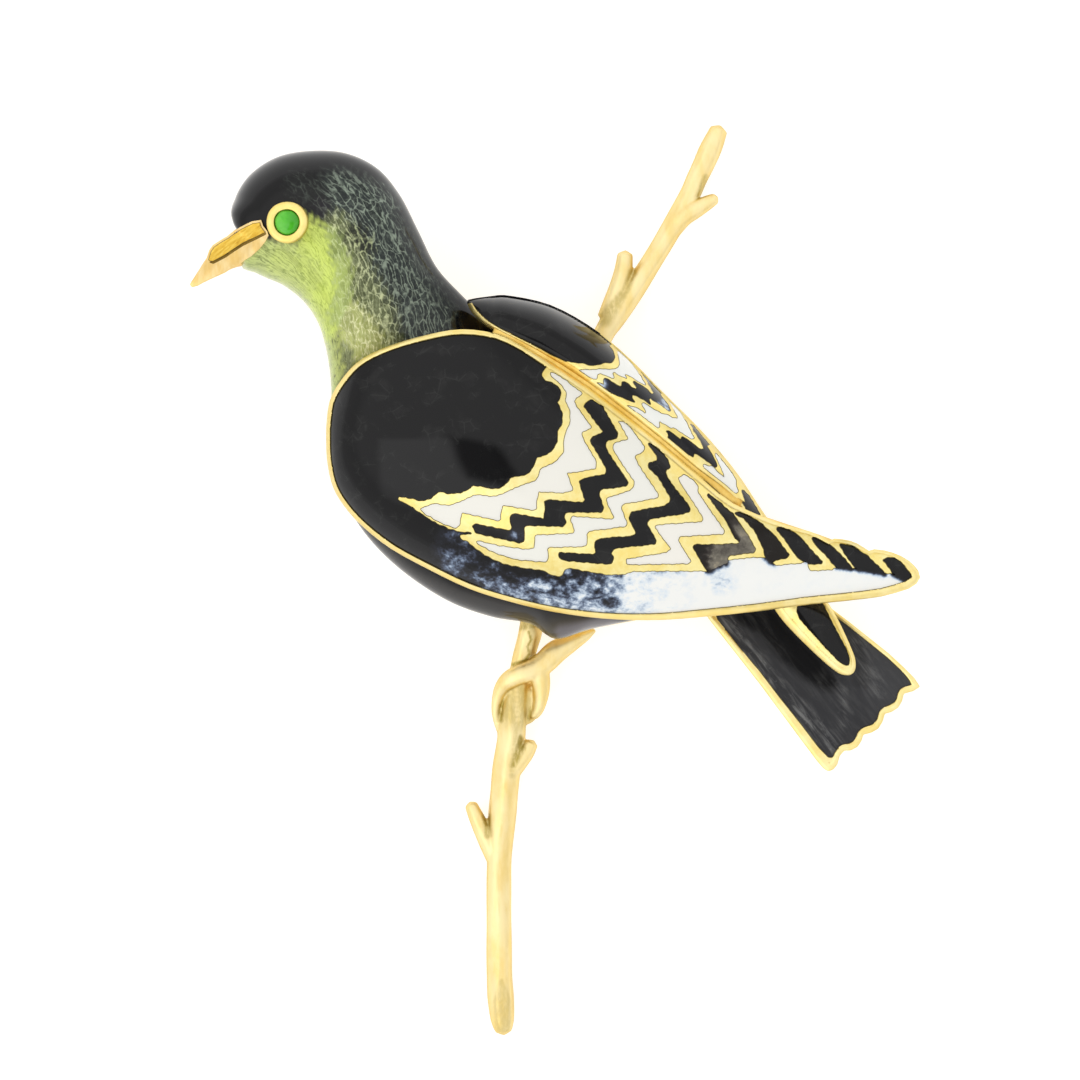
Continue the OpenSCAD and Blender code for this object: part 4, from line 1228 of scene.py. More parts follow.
ZZ2 = [(647.5, 443), (658, 447), (667, 460), (670, 467.5), (664.5, 472), (667, 478), (689.5, 508), (688.5, 512), (684, 513.5), (649.5, 518.8),
       (646, 523), (656, 540.5), (655, 544), (615, 548), (610.5, 552.5), (613.5, 558), (612.5, 562), (608, 564), (565, 560.5), (559.5, 558),
       (559, 552.5), (591, 554.5), (596, 553.5), (594, 547), (596, 540.5), (602, 538.4), (632, 536.2), (636.5, 534), (629, 519), (630, 512.3),
       (664.5, 506), (669, 502.5), (671, 499), (658, 478), (648, 467), (648.5, 463.5), (657, 461), (657, 457)]
BAND3 = [(678, 478), (684, 474.3), (692, 480), (698, 487), (697, 492), (706, 505), (724, 532), (722, 534), (680, 536.3), (677.5, 540.5),
         (690.5, 561), (688, 563.5), (627, 564.5), (625.5, 559.5), (667, 552.5), (671, 549), (655, 527.5), (656, 525.3), (701.5, 522),
         (703.6, 519), (695, 506), (681, 484)]
CHEV = [(706.5, 495), (708.5, 494), (713, 497.5), (721, 504), (732.5, 514), (740, 524.5), (747.3, 535.3), (754.8, 549.5), (753, 552.5), (750, 552.9),
        (729, 555.3), (726.5, 558.5), (727.3, 561.5), (726, 563.4), (716.7, 567), (707, 571.5), (703, 566), (692.7, 547.3), (694, 544.7), (716.7, 544.7),
        (738, 543.6), (739.3, 542), (734, 538), (724.7, 519.3)]
F1 = [(734.8, 513.6), (736.5, 512.4), (743.3, 512.7), (752, 517.5), (760.7, 523.3), (770, 531.5), (778, 540.7), (789, 554.5), (786.5, 558.2), (775.3, 559.9),
      (772.5, 562.8), (768.5, 560.2), (764.8, 557.7), (763, 549), (754, 530), (745, 520)]
F2 = [(776.7, 527.3), (782, 526.3), (796.7, 534), (807.3, 546), (822, 562), (820.5, 563.8), (808.7, 564), (799.3, 559.5), (790, 547.5), (783.3, 538), (777.3, 531)]
F3 = [(811.3, 538.5), (812.7, 536.7), (820.7, 537.6), (832.7, 547.3), (844.7, 559.3), (852.7, 568.6), (845, 568), (836.5, 567.6), (830, 560.7), (816.7, 546)]
F4 = [(839.3, 545), (841.5, 543.8), (852.7, 546), (866, 555.3), (876.7, 564.7), (884.5, 573.8), (870, 571), (855.3, 569), (844.7, 554)]
F5 = [(882.5, 560), (886, 557.6), (892, 557.6), (898, 559.5), (907.3, 566), (911.5, 572.7), (911.5, 579.5), (908.5, 582.5), (898, 577.2), (892.7, 573.8), (887.3, 566)]

OPEN = [np.array(k, float) for k in ([(707, 571.4), (716.7, 567), (726, 563.4)], [(764.8, 557.7), (772.5, 562.6)], [(837, 567.6), (852.5, 568.4)],
                                     [(856, 568.9), (868, 570.6), (884, 573.8)], [(893, 573.9), (898, 577.2), (908.5, 582.5)])]
OPEN_SEGS = [(a_, b_) for line in OPEN for a_, b_ in zip(line[:-1], line[1:])]


def field_tone(x, y):
    """Black shoulder, clouds from x 430 on, white from 630, with a soft edge where a black feather opens into it."""
    d_low = y - np.interp(x, [400, 480, 560, 620, 700], [500, 560, 588, 592, 592])
    xx = x + 0.25 * d_low
    tn = float(np.interp(xx, [436, 452, 466, 490, 520, 560, 590, 612, 632, 650], [0.0, 0.26, 0.24, 0.30, 0.42, 0.52, 0.60, 0.68, 0.92, 1.0]))
    mo = float(np.interp(xx, [430, 450, 480, 600, 640, 700], [0.0, 0.8, 0.95, 1.0, 0.75, 0.10]))
    top_line = float(np.interp(x, [430, 450, 477, 504, 551, 600, 632], [522, 529, 548, 562, 573, 573, 571]))
    tn -= 0.32 * float(1 - smooth(y - top_line, 2, 13)) * float(smooth(x, 470, 500)) * float(1 - smooth(x, 596, 630))
    tn -= 0.35 * float(1 - smooth(math.hypot(x - 612, (y - 603) * 1.6), 4, 14))
    tn += 0.45 * float(1 - smooth(math.hypot(x - 569, (y - 571) * 1.5), 2, 6))
    tn += 0.22 * float(1 - smooth(math.hypot(x - 452, (y - 553) * 1.2), 3, 12))
    k = 0.30 * float(1 - smooth(math.hypot((x - 720) * 0.7, y - 583), 4, 16)) + 0.30 * float(1 - smooth(math.hypot((x - 668) * 0.25, y - 573), 2, 6))
    tn -= k * 0.62
    mo = max(mo, 2.2 * k)
    dd = float(near_lines(np.array([[x, y]]), OPEN_SEGS)[0])
    if x > 690:
        tn = min(tn, float(smooth(dd, -1.0, 5.5)))
        mo = max(mo, 0.55 * float(1 - smooth(dd, 3.0, 9.0)))
    if y < top_line - 6 and x < 560:
        tn, mo = 0.0, 0.0
    return max(0.0, tn), mo


def feather_tone(x, y):
    d_ = (x - 735) * 0.80 - (y - 513) * 0.60
    g = float(1 - smooth(d_, -9, 1)) * float(smooth(y, 520, 531)) * 0.50
    return g, 0.10 + 0.35 * g


def chev_tone(x, y):
    arm = float(smooth(y, 503, 534)) * float(smooth((x - 706) - 0.62 * (y - 495), 1, 9)) * 0.52
    low = float(smooth(x + 2 * math.sin(y), 701, 712)) * (0.47 if y > 542 else 0.0)
    low += 0.10 * float(smooth(y, 551, 560)) * float(smooth(x, 705, 715))
    return max(arm, low), 0.22 + 0.35 * float(1 - smooth(x, 700, 722))


def zz1_tone(x, y):
    w = float(1 - smooth(math.hypot(x - 517, (y - 535) * 1.3), 3, 12))
    return 0.52 * w, 0.9 * w


CREAM = (0.99, 0.955, 0.905)
BROWN = (1.12, 0.78, 0.43)
near_regions = [
    {"poly": rounded(field, 2.0, 2), "tone": field_tone},
    {"poly": rounded(BAND1, 1.6, 2), "tone": 1.0, "tint": (0.970, 0.945, 0.895)},
    {"poly": rounded(ZZ1, 2.6), "tone": zz1_tone},
    {"poly": rounded(BAND2, 1.8, 2), "tone": 1.0, "tint": (0.965, 0.950, 0.905)},
    {"poly": rounded(ZZ2, 2.6), "tone": 0.0},
    {"poly": rounded(BAND3, 1.6, 2), "tone": 1.0, "tint": CREAM},
    {"poly": rounded(CHEV, 1.4, 2), "tone": chev_tone, "tint": BROWN},
    {"poly": rounded(F1, 2.0, 2), "tone": feather_tone, "tint": BROWN},
    {"poly": rounded(F2, 1.6, 2), "tone": 0.0},
    {"poly": rounded(F3, 1.6, 2), "tone": 0.0},
    {"poly": rounded(F4, 1.6, 2), "tone": 0.0},
    {"poly": rounded(F5, 1.6, 2), "tone": 0.0},
]


def param_points(table, n, m):
    g = wing_grid(table, n, m)
    pts = g[:, :, :2].copy()
    pts[:, 1::2] += 0.5 * (np.roll(pts, -1, 0) - pts)[:, 1::2] * np.linspace(1, 0, pts.shape[0])[:, None, None] ** 0.001 * 0.9
    return pts[:-1].reshape(-1, 2)


WING_MATS = {"list": [ENAMEL, GOLD_WALL, GOLD_WALL_SHADE, GOLD_RIM, GOLD_RIDGE, GOLD_RIM], "metal": 1, "enamel": 0, "side": 2, "skirt": 5}



def near_width(x, y):
    if y > 560 or x < 420:
        return U * float(np.interp(x, [326, 360, 420, 560, 640, 700, 820, 900, 915], [2.4, 2.5, 2.6, 2.8, 3.4, 3.9, 4.1, 4.2, 4.1]))
    return U * float(np.interp(x, [420, 470, 525, 545, 700, 745, 780, 895, 912], [2.6, 2.7, 2.5, 3.3, 3.2, 2.1, 1.7, 1.8, 3.4]))


def near_metal(x, y, d_):
    return 3 if d_ < 2.05 else 1


near_ob = inlay("near_wing_enamel", near, near_out, near_regions, param_points(NEAR_WING, 190, 68), WING_MATS,
      step=0.2, clear=0.0, bevel=0.055, rim=near_width, rim_h=0.15, metal=near_metal, stands_for=("left_wing",), wobble=0.020)
v, f = skin(wing_shell(NEAR_WING, 150, 28, 1.05, 0.4, 0.5, 0.12), True)
add("near_wing_plate", v, f, [GOLD_BACK])

# ------------------------------------------------------------------ far wing
far_grid = wing_grid(FAR_WING, 260, 80)
far = Surface(far_grid)
far_low, far_top = far_grid[:, 0, :2], far_grid[:, -1, :2]
far_out = turned_left(np.vstack([far_low[::5], far_top[::-5]]))
d = np.linalg.norm(far_out - np.roll(far_out, 1, 0), axis=1)
far_out = far_out[d > 0.05]
far_out = resample(far_out, 0.2, True)
far_out = shrink(far_out, -0.055 * ridge_mask(far_out))
for _ in range(40):
    k_ = 0.5 * (1 - smooth(np.linalg.norm(unplan(far_out) - (856, 674), axis=1), 8, 18))[:, None]
    far_out = far_out + k_ * ((np.roll(far_out, 1, 0) + np.roll(far_out, -1, 0)) / 2 - far_out)
PATCH_FAR = [(566, 361.5), (572, 362.5), (580, 363.5), (585, 364), (590, 366), (596, 365.6), (601, 364.5), (605, 362.5), (610, 363.5), (613, 361.5),
             (614.5, 357), (613, 351.5), (609, 346)]
patch_far = PATCH_FAR + [(640, 330), (560, 280), (440, 270), (440, 300), (470, 330), (520, 366), (560, 372)]
W1 = [(578, 370.5), (583, 370.3), (590, 370.5), (600, 369.5), (607, 370), (614, 369.5), (618, 368), (619.5, 364), (619, 357), (617, 351.5),
      (619.5, 351.2), (626, 357), (632, 363.5), (638, 372), (642, 379), (645.5, 385), (643, 384.5), (638, 381.5), (632, 377.5), (625.5, 374.2), (624.5, 375.5),
      (626.5, 378.8), (622, 377), (614, 372.5), (612, 373.5), (614, 378), (612, 378.6), (605, 375.5), (600, 373.6), (597, 375), (596.5, 379.3),
      (590, 378.8), (585, 376.5)]
FA = [(591.5, 381), (593, 381), (597, 383), (604, 385), (603.5, 380.5), (604.5, 379), (608, 379.5), (611, 382), (615, 384.5), (620, 387), (621.5, 386),
      (622, 382), (624, 381.8), (628, 384.5), (632, 388), (635.5, 389.5), (636.5, 388.5), (633, 382.5), (634, 381.5), (640, 385), (646, 389),
      (652, 394.5), (654, 393.5), (651, 388), (646, 380), (641.5, 373.2), (640.5, 371.8), (644, 374), (648, 378.2), (652, 383), (657, 388.5), (662, 393.5),
      (660.5, 394), (663, 398), (667, 404), (670.5, 411), (669, 411), (662, 406), (655, 401.5), (649.5, 398.5), (648.5, 400), (650.5, 404.5),
      (649, 404), (645, 401), (638, 397), (632.5, 395), (631.5, 396), (632, 399), (634.5, 402.5), (632, 402), (625, 399), (615, 395), (605, 391),
      (598, 387.5), (594, 384.5)]
W2 = [(626, 405.5), (632, 407), (638, 409), (642, 411.5), (645, 414), (646, 412.5), (643, 407), (641.5, 404), (643.5, 403), (650, 407.5),
      (656, 411), (661, 413.5), (668, 415.5), (673, 418), (677.5, 419), (677.5, 416), (673, 408), (668.5, 400.5), (672, 403.5), (678, 409.5), (681.5, 413.5),
      (683, 417), (686, 422), (690, 431), (694, 438.5), (691, 439), (684, 434.5), (678, 430.5), (673, 427.5), (670.5, 428), (664, 424),
      (659.5, 421.5), (658.5, 422.5), (659.5, 427), (658, 428), (652, 424), (646, 419), (638, 413.5), (630, 409)]
FB = [(656, 432.5), (660, 434), (665, 437.5), (668, 437.5), (668.5, 435), (666, 431), (668, 431), (674, 435), (680, 439.5), (681, 439),
      (681.5, 437), (683, 437), (689, 441), (696, 446.5), (701, 450), (703.5, 449), (702, 444), (698, 437), (693, 429), (690, 423.5), (692.5, 424.5),
      (696, 428.5), (700, 433), (706, 440), (710, 445), (707.5, 445), (707, 447), (711, 453), (715, 461), (717, 466), (715.5, 467.5),
      (711, 464.5), (704, 459), (697, 454.5), (694, 453.5), (693, 457.5), (691, 456.5), (687, 454), (680, 450.5), (671, 446), (665, 441.5), (660, 437)]
W3 = [(681, 456.5), (685, 459), (692, 462.5), (698, 466.5), (704, 471.5), (705.5, 471), (703, 466), (703.5, 464.5), (709, 466.5), (712, 466),
      (717, 471.5), (724, 477.5), (723, 473), (719, 464), (715, 455), (715.5, 453), (720, 458), (726, 465.5), (732, 473.5), (735.5, 479.5), (736, 486),
      (738, 491.5), (736, 493.5), (730, 490), (722, 486), (717, 483), (713.5, 479.5), (712.5, 481), (715, 489.5), (712, 489), (706, 483),
      (699, 476.5), (692, 469), (685, 462)]
FC = [(719.5, 488.5), (722, 489), (726, 492), (732, 495), (740, 499.5), (745, 503), (744.5, 499), (742, 492), (742, 490), (745, 491),
      (749, 495.5), (753, 501.5), (757, 508), (760.5, 514), (759.5, 515.5), (757, 515.5), (750, 511.5), (742, 508), (736, 504), (731, 502), (730, 504),
      (731.5, 505.5), (725, 503.5), (720, 500.5), (722, 498), (722, 494)]
TIPC = [(798, 600), (797, 612), (800, 619), (808, 628), (818, 639), (828, 650), (837, 659.5), (844, 664.8), (849, 665.5), (850, 660), (847, 650), (841, 639),
        (832, 622), (824, 605), (818, 596)]


def fa_tone(x, y):
    a = float(1 - smooth(math.hypot(x - 599, y - 385), 3, 12))
    b = float(1 - smooth(math.hypot(x - 665, y - 405), 3, 13))
    c = float(1 - smooth(math.hypot(x - 647, y - 378), 2, 9)) * 0.6
    w = max(a, b, c)
    return 0.10 + 0.62 * w, 0.25 + 0.5 * w


far_regions = [
    {"poly": rounded(patch_far, 1.2, 2), "tone": 0.0},
    {"poly": rounded(W1, 0.8, 2), "tone": 1.0, "tint": (0.985, 0.985, 0.965)},
    {"poly": rounded(FA, 0.8, 2), "tone": fa_tone},
    {"poly": rounded(W2, 0.8, 2), "tone": 1.0, "tint": (0.98, 0.985, 0.96)},
    {"poly": rounded(FB, 0.8, 2), "tone": 0.06, "mottle": 0.05},
    {"poly": rounded(W3, 0.8, 2), "tone": 1.0, "tint": (0.985, 0.98, 0.96)},
    {"poly": rounded(FC, 0.8, 2), "tone": 0.03, "mottle": 0.05},
    {"poly": rounded(TIPC, 2.0, 2), "tone": 0.0},
]
FAR_LOW_PX = unplan(far_low)


def far_width(x, y):
    low = np.min(np.linalg.norm(FAR_LOW_PX - np.array((x, y)), axis=1)) < 3.0
    if y > 590:
        return U * (1.9 if low else float(np.interp(y, [590, 640, 675], [4.6, 4.2, 3.4])))
    if low:
        return U * float(np.interp(x, [600, 618, 850], [0.35, 0.9, 1.1]))
    return U * float(np.interp(x, [470, 500, 548, 560, 700, 740], [2.8, 2.9, 3.1, 4.1, 4.0, 3.2]))


def far_metal(x, y, d_):
    if d_ < 2.05 and 538 + 4 * math.sin(y) < x < 588 + 4 * math.sin(0.7 * y) and y < 500:
        return 4
    return 3 if d_ < 2.05 else 1


def far_floor(p):
    """On the outer side the edge goes straight down to the wing's foot."""
    d_, i_ = nearest(np.array([p]), far_low)
    return far_grid[int(np.ravel(i_)[0]), 0, 2] + 0.02 if float(np.ravel(d_)[0]) < 0.3 else 99.0


far_ob = inlay("far_wing_enamel", Calm(far, far_low, far_top, 0.058), far_out, far_regions, param_points(FAR_WING, 200, 46), WING_MATS,
      step=0.16, clear=0.0, bevel=0.05, gold_up=0.06, rim=far_width, rim_h=0.14, metal=far_metal, floor_z=far_floor, still=far_low, stands_for=("right_wing",), wobble=0.012)
for pol in far_ob.data.polygons:
    if pol.material_index in (1, 2, 3, 4):
        c_ = unplan(np.array(pol.center[:2])[None] / MM)[0]
        if c_[0] < 600 and np.min(np.linalg.norm(FAR_LOW_PX - c_, axis=1)) < 4.0:
            pol.material_index = 0
# painted shade: the steep rim faces that turn into the groove between the two wings take the dark wall material
for ob_ in (near_ob, far_ob):
    for pol in ob_.data.polygons:
        c_ = np.array(pol.center[:2])[None] / MM
        if pol.material_index in (3, 5) and abs(pol.normal.z) < 0.45 and ridge_mask(c_)[0] > 0.4:
            lo = 1 if ob_ is near_ob else -1
            if pol.normal.y * lo > 0:
                pol.material_index = 2
seam_xy = np.array([p_ for p_ in top_edge[::3] if 492 < unplan(p_)[0] < 739])
seam_xy = seam_xy + (0.10, 0.10)
seam_a, seam_b = near.at(seam_xy - (0.3, 0.3))[0], far.at(seam_xy + (0.3, 0.3))[0]
seam_z = np.minimum(seam_a, seam_b) + 0.35 * np.abs(seam_a - seam_b) - 0.27
v, f = wire(np.column_stack([seam_xy, seam_z]), 0.42, 0.16, False, 10)
add("ridge_seam", v, f, [GOLD_RIDGE])
v, f = skin(wing_shell(FAR_WING[:-1] + [[853.5, 670, 6.7, 849, 672, 6.8, 6.9, 0.5, 1]], 130, 24, 0.85, 0.3, 0.4, 0.12))
add("far_wing_plate", v, f, [GOLD_BACK])


# ------------------------------------------------------------------ tail
TAIL_OUT = [(760, 566), (706, 614), (709, 619), (720, 633), (740, 658.5), (760, 684), (780, 711), (800, 738), (818, 762), (824, 769), (829, 772), (834, 770),
            (838, 765), (840.5, 756), (845, 751), (851, 751), (858, 747.5), (862, 741.5), (864, 735), (872, 733), (879, 729), (883.5, 721.5), (885.5, 714),
            (892, 712.5), (899, 708), (903, 701), (904.5, 694), (914, 691.5), (921, 687), (915, 678), (905, 668), (890, 654), (870, 638), (850, 622),
            (830, 607), (800, 585)]
TAIL_IN = [(762, 572), (716, 613), (719, 621), (740, 648), (760, 670.5), (780, 697), (800, 722), (819, 747), (829, 757.5), (833.5, 757.5), (836.5, 754), (838.5, 748),
           (843, 744.5), (850, 743.5), (855.5, 740), (858, 734), (860.5, 729.5), (866, 726.5), (873, 724.5), (878.5, 719.5), (880, 712), (884, 707.5),
           (890, 705), (896.5, 701.5), (900, 696), (901, 690), (905, 687), (914, 684), (906, 675), (890, 660), (870, 643.5), (850, 627.5), (830, 612.5), (800, 590)]


def tail_surface():
    a, b = np.array((690, 600.0)), np.array((775, 540.0))
    c, d_ = np.array((835, 790.0)), np.array((935, 690.0))
    out = []
    for s in np.linspace(0, 1, 60):
        p, q_ = a + (c - a) * s, b + (d_ - b) * s
        line = []
        for t in np.linspace(0, 1, 40):
            xy = plan(p + (q_ - p) * t)
            line.append((xy[0], xy[1], 4.98 + 0.20 * math.cos((t - 0.5) * math.pi) + 0.02 * math.cos(t * 9)))
        out.append(line)
    return Surface(np.array(out))


tail_surf = tail_surface()
t_out = turned_left(plan(rounded(TAIL_OUT, 1.5, 2)))
g = np.stack(np.meshgrid(np.arange(700, 930, 5), np.arange(560, 780, 5), indexing="ij"), -1).reshape(-1, 2).astype(float)


def tail_width(x, y):
    if (x - 709) * 0.79 - (y - 619) * 0.61 < 12:
        return U * float(np.interp(y, [620, 700, 760], [3.2, 3.7, 4.2]))
    if x * 0.78 + y > 1385:
        return U * 3.2
    return U * 1.9


tail_ob = inlay("tail_enamel", tail_surf, t_out, [{"poly": rounded(TAIL_IN, 1.5, 2), "tone": 0.0}], plan(g),
                {"list": [ENAMEL_TAIL, GOLD_WALL, GOLD_WALL_SHADE, GOLD_RIM], "metal": 3, "enamel": 0, "side": 2, "skirt": 3},
                gold_up=0.07, enamel_up=0.0, bevel=0.06, rim=tail_width, rim_h=0.15, skirt=0.9, floor_z=4.25, step=0.22, clear=0.05, stands_for=("tail",))
tq = unplan(np.array([v_.co[:2] for v_ in tail_ob.data.vertices]) / MM)
# painted highlight: pale streaks along the tail, strongest along its left edge
highlight_streaks = 0.10 + 0.75 * from_core(tq, [(727, 622, 2, 9), (742, 642, 2, 10), (762, 668, 2, 11), (785, 698, 3, 12), (806, 718, 3, 13), (828, 745, 4, 13)])
highlight_streaks += 0.40 * from_core(tq, [(842, 690, 1, 7), (846, 712, 1, 7), (842, 728, 1, 6)]) + 0.35 * from_core(tq, [(858, 640, 2, 10), (866, 668, 3, 12), (878, 690, 3, 10)])
# painted shadow: the grey lift is taken away in bands beside the far wing tip, and the highlight streaks are taken out
# under it
lift_less_painted_shadow = 0.85 - 0.80 * from_core(tq, [(748, 614, 7, 12), (768, 622, 9, 10), (790, 648, 9, 10), (812, 668, 9, 9), (828, 682, 5, 8)])
lift_less_painted_shadow -= 0.45 * from_core(tq, [(836, 620, 4, 9), (856, 652, 5, 9), (862, 680, 4, 8)])
tip_shadow_mask = from_core(tq, [(780, 620, 8, 8), (812, 664, 8, 8)])
for key, data in (("streak", np.clip(highlight_streaks * (1 - tip_shadow_mask), 0, 1)), ("lift_less_painted_shadow", np.clip(lift_less_painted_shadow, 0, 1))):
    a = tail_ob.data.attributes.new(key, "FLOAT", "POINT")
    a.data.foreach_set("value", data.astype(np.float32))
# back of the tail: a closed gold plate
base = turned_left(plan(rounded(TAIL_OUT, 1.5, 2)))
base = shrink(resample(base, 0.4, True), 0.04)
vs, _, fs, _, _, _ = delaunay_2d_cdt([Vector((p[0], p[1])) for p in base], [(i, (i + 1) % len(base)) for i in range(len(base))], [], 1, 1e-5, True)
bx = np.array([[v_[0], v_[1]] for v_ in vs])
cen_b = bx[np.array([list(t) for t in fs])].mean(1)
bt = [list(t) for t, ok in zip(fs, inside(cen_b, base)) if ok]
bt = [t if (bx[t[1]][0] - bx[t[0]][0]) * (bx[t[2]][1] - bx[t[0]][1]) - (bx[t[1]][1] - bx[t[0]][1]) * (bx[t[2]][0] - bx[t[0]][0]) > 0 else t[::-1] for t in bt]
n = len(bx)
tz, _ = tail_surf.at(bx)
bv = np.vstack([np.column_stack([bx, np.full(n, 4.2)]), np.column_stack([bx, tz - 0.1])])
bf = [t[::-1] for t in bt] + [[i + n for i in t] for t in bt]
cnt = {}
for t in bt:
    for i in range(3):
        cnt[(t[i], t[(i + 1) % 3])] = 1
for (p0, p1) in list(cnt):
    if (p1, p0) not in cnt:
        bf.append([p0, p1, p1 + n, p0 + n])
add("tail_plate", bv, bf, [GOLD_BACK])

# ------------------------------------------------------------------ twig, leg and foot, fused into one casting
TWIG = [
    [503.5, 1033.5, 0.72, 0.60], [502, 1020, 0.88, 0.90], [500.5, 1000, 0.98, 0.98], [499.5, 975, 0.99, 0.98], [499, 940, 1.0, 0.96], [498.5, 900, 1.02, 0.93],
    [499, 860, 1.12, 0.95], [502, 815, 1.35, 1.05], [505, 785, 1.5, 1.08], [508.5, 757, 1.7, 1.06], [511.5, 737, 1.85, 1.05],
    [513, 722, 1.95, 1.04], [516, 695, 2.2, 0.92], [521, 668, 2.45, 0.80], [526, 648, 2.6, 0.84], [530, 632, 2.75, 0.86], [533, 612, 2.85, 0.84], [540, 588, 3.0, 0.8],
    [548, 545, 3.1, 0.8], [556, 490, 3.15, 0.8], [567, 430, 3.15, 0.8], [583, 378, 3.1, 0.8], [602, 338, 2.95, 0.8],
    [611, 322, 2.85, 0.84], [620, 309, 2.75, 0.86], [641, 278, 2.4, 0.8], [665, 240, 1.9, 0.78], [688, 199, 1.42, 0.80], [697, 178, 1.2, 0.77],
    [704.5, 162, 1.05, 0.82], [713, 143, 0.88, 0.80], [719.5, 127.5, 0.74, 0.66],
]
TWIG_ENDS = [
    [[503, 790, 1.55, 0.66], [511, 773, 1.85, 0.70], [519, 762, 2.05, 0.68], [526, 753, 2.2, 0.62], [532, 743.5, 2.28, 0.48]],
    [[495, 858, 1.15, 0.72], [489, 845, 1.22, 0.72], [482, 831, 1.3, 0.64], [475.5, 817, 1.35, 0.56], [470.5, 805.5, 1.35, 0.46]],
    [[491, 846, 1.0, 0.5], [488, 834, 1.0, 0.5], [487, 823, 0.98, 0.4]],
    [[607, 318, 2.7, 0.72], [613, 303, 2.65, 0.74], [619, 287, 2.6, 0.72], [623.5, 270, 2.55, 0.66], [625.5, 253, 2.5, 0.56]],
    [[624, 292, 2.4, 0.5], [630, 283, 2.35, 0.5], [634, 273, 2.3, 0.35]],
    [[674, 228, 1.8, 0.64], [684, 216, 1.9, 0.68], [696, 208.5, 1.98, 0.64], [708, 201.5, 2.0, 0.54], [716.5, 197, 2.0, 0.40]],
]
LEG = [[595, 630.5, 3.3, 0.16], [585, 635.5, 3.25, 0.46], [574, 641, 3.25, 0.66], [556, 652, 3.3, 0.86], [546, 661.5, 3.35, 0.86], [536, 669, 3.4, 0.80]]
TOE_A = [[545, 663, 3.4, 0.7], [530, 671, 3.5, 0.78], [519, 675, 3.5, 0.74], [508, 681, 3.25, 0.66], [500.5, 689.5, 2.9, 0.50], [496.8, 700, 2.6, 0.38],
         [495.3, 712, 2.35, 0.30], [497, 724, 2.1, 0.24], [500, 735, 1.85, 0.18]]
TOE_B = [[536, 669, 3.3, 0.80], [540, 678, 3.2, 0.74], [541.5, 690, 2.95, 0.62], [540.5, 701, 2.7, 0.50], [537.5, 711, 2.45, 0.42], [532.5, 717.5, 2.25, 0.32]]
CUFF = [[513, 676, 2.15, 0.60], [516, 686, 2.15, 1.30], [518.5, 697, 2.05, 1.66], [520, 708, 1.95, 1.62], [521.5, 717, 1.9, 1.2], [521, 724, 1.85, 0.6]]


def run(table, per, facets=None, seg=20, square=1.0, deep=1.0):
    r = rows(table, (len(table) - 1) * per)
    p = np.column_stack([plan(r[:, :2]), r[:, 2]])
    return wire(p, r[:, 3] * square * 1.07, r[:, 3] * deep * 1.07, False, seg, (0, 0, 1), facets, 0.55)


def bark(s, ang):
    a = ang + 0.5 * math.sin(s * 9) + 0.8 * s
    n_ = 6
    edge = np.mod(a, 2 * math.pi / n_) - math.pi / n_
    hexa = math.cos(math.pi / n_) / np.cos(edge)
    return 0.62 + 0.38 * hexa + 0.03 * np.sin(3 * a + s * 31) + 0.016 * np.sin(5 * a - s * 60) + 0.014 * math.sin(s * 120)


heap = Heap()
for tab, per, fac in [(TWIG, 7, bark)] + [(t, 6, None) for t in TWIG_ENDS]:
    heap.put(*run(tab, per, fac, 30))
heap.put(*run(CUFF, 6, None, 24, 1.0, 0.42))
heap.put(*run(LEG, 6, None, 20, 1.0, 0.9))
heap.put(*run(TOE_A, 6, None, 18, 1.0, 0.85))
heap.put(*run(TOE_B, 6, None, 18, 1.0, 0.9))
raw = bpy.data.meshes.new("twig_raw")
raw.from_pydata([tuple(v_) for v_ in heap.verts()], [], heap.f)
tmp = bpy.data.objects.new("twig_raw", raw)
scene.collection.objects.link(tmp)
rm = tmp.modifiers.new("fuse", "REMESH")
rm.mode = "VOXEL"
rm.voxel_size = 0.105
sm = tmp.modifiers.new("soften", "SMOOTH")
sm.factor, sm.iterations = 0.5, 4
dg = bpy.context.evaluated_depsgraph_get()
ev = tmp.evaluated_get(dg)
me = ev.to_mesh()
tv = np.array([v_.co[:] for v_ in me.vertices])
tf = [tuple(p.vertices) for p in me.polygons]
ev.to_mesh_clear()
bpy.data.objects.remove(tmp)
tp = unplan(tv[:, :2])
# painted shade: olive darkening in the hollow between the toes, along the crack of the stub, under the belly, in the
# forks of the side twigs and on the cut facet at the lower end
painted_shade = 0.46 * from_core(tp, [(516, 690, 6, 6), (518, 703, 11, 8), (518, 712, 10, 16)]) * (1 - smooth(tv[:, 2], 3.15, 3.6))
painted_shade *= 1 - 0.6 * from_core(tp, [(516, 690, 0.8, 3), (517.5, 720, 0.8, 3)])
painted_shade = np.maximum(painted_shade, 0.85 * from_core(tp, [(506, 690, 0.6, 5), (501.5, 706, 1.2, 5), (501, 720, 0.6, 6)]) * (1 - smooth(tv[:, 2], 2.6, 2.9)))
painted_shade = np.maximum(painted_shade, 0.80 * from_core(tp, [(530, 692, 0.6, 5), (533, 706, 1.2, 5), (529, 718, 0.6, 6)]) * (1 - smooth(tv[:, 2], 2.5, 2.8)))
painted_shade = np.maximum(painted_shade, 0.85 * from_core(tp, [(520, 738, 1, 3.5), (520.5, 750, 3.5, 4), (513, 766, 0.6, 5)]) * (1 - smooth(tv[:, 2], 2.75, 2.95)))
painted_shade = np.maximum(painted_shade, 0.9 * from_core(tp, [(528.5, 632, 0.4, 1.6), (531, 640, 0.6, 1.8), (527.5, 647, 0.3, 1.4), (529.5, 654, 0.5, 1.6), (525, 661, 0.7, 2.2),
                                               (513, 665, 0.6, 2.4)]))
painted_shade = np.maximum(painted_shade, 0.36 * from_core(tp, [(533, 628, 2, 6), (535, 640, 2, 5), (532, 655, 2, 5)]))
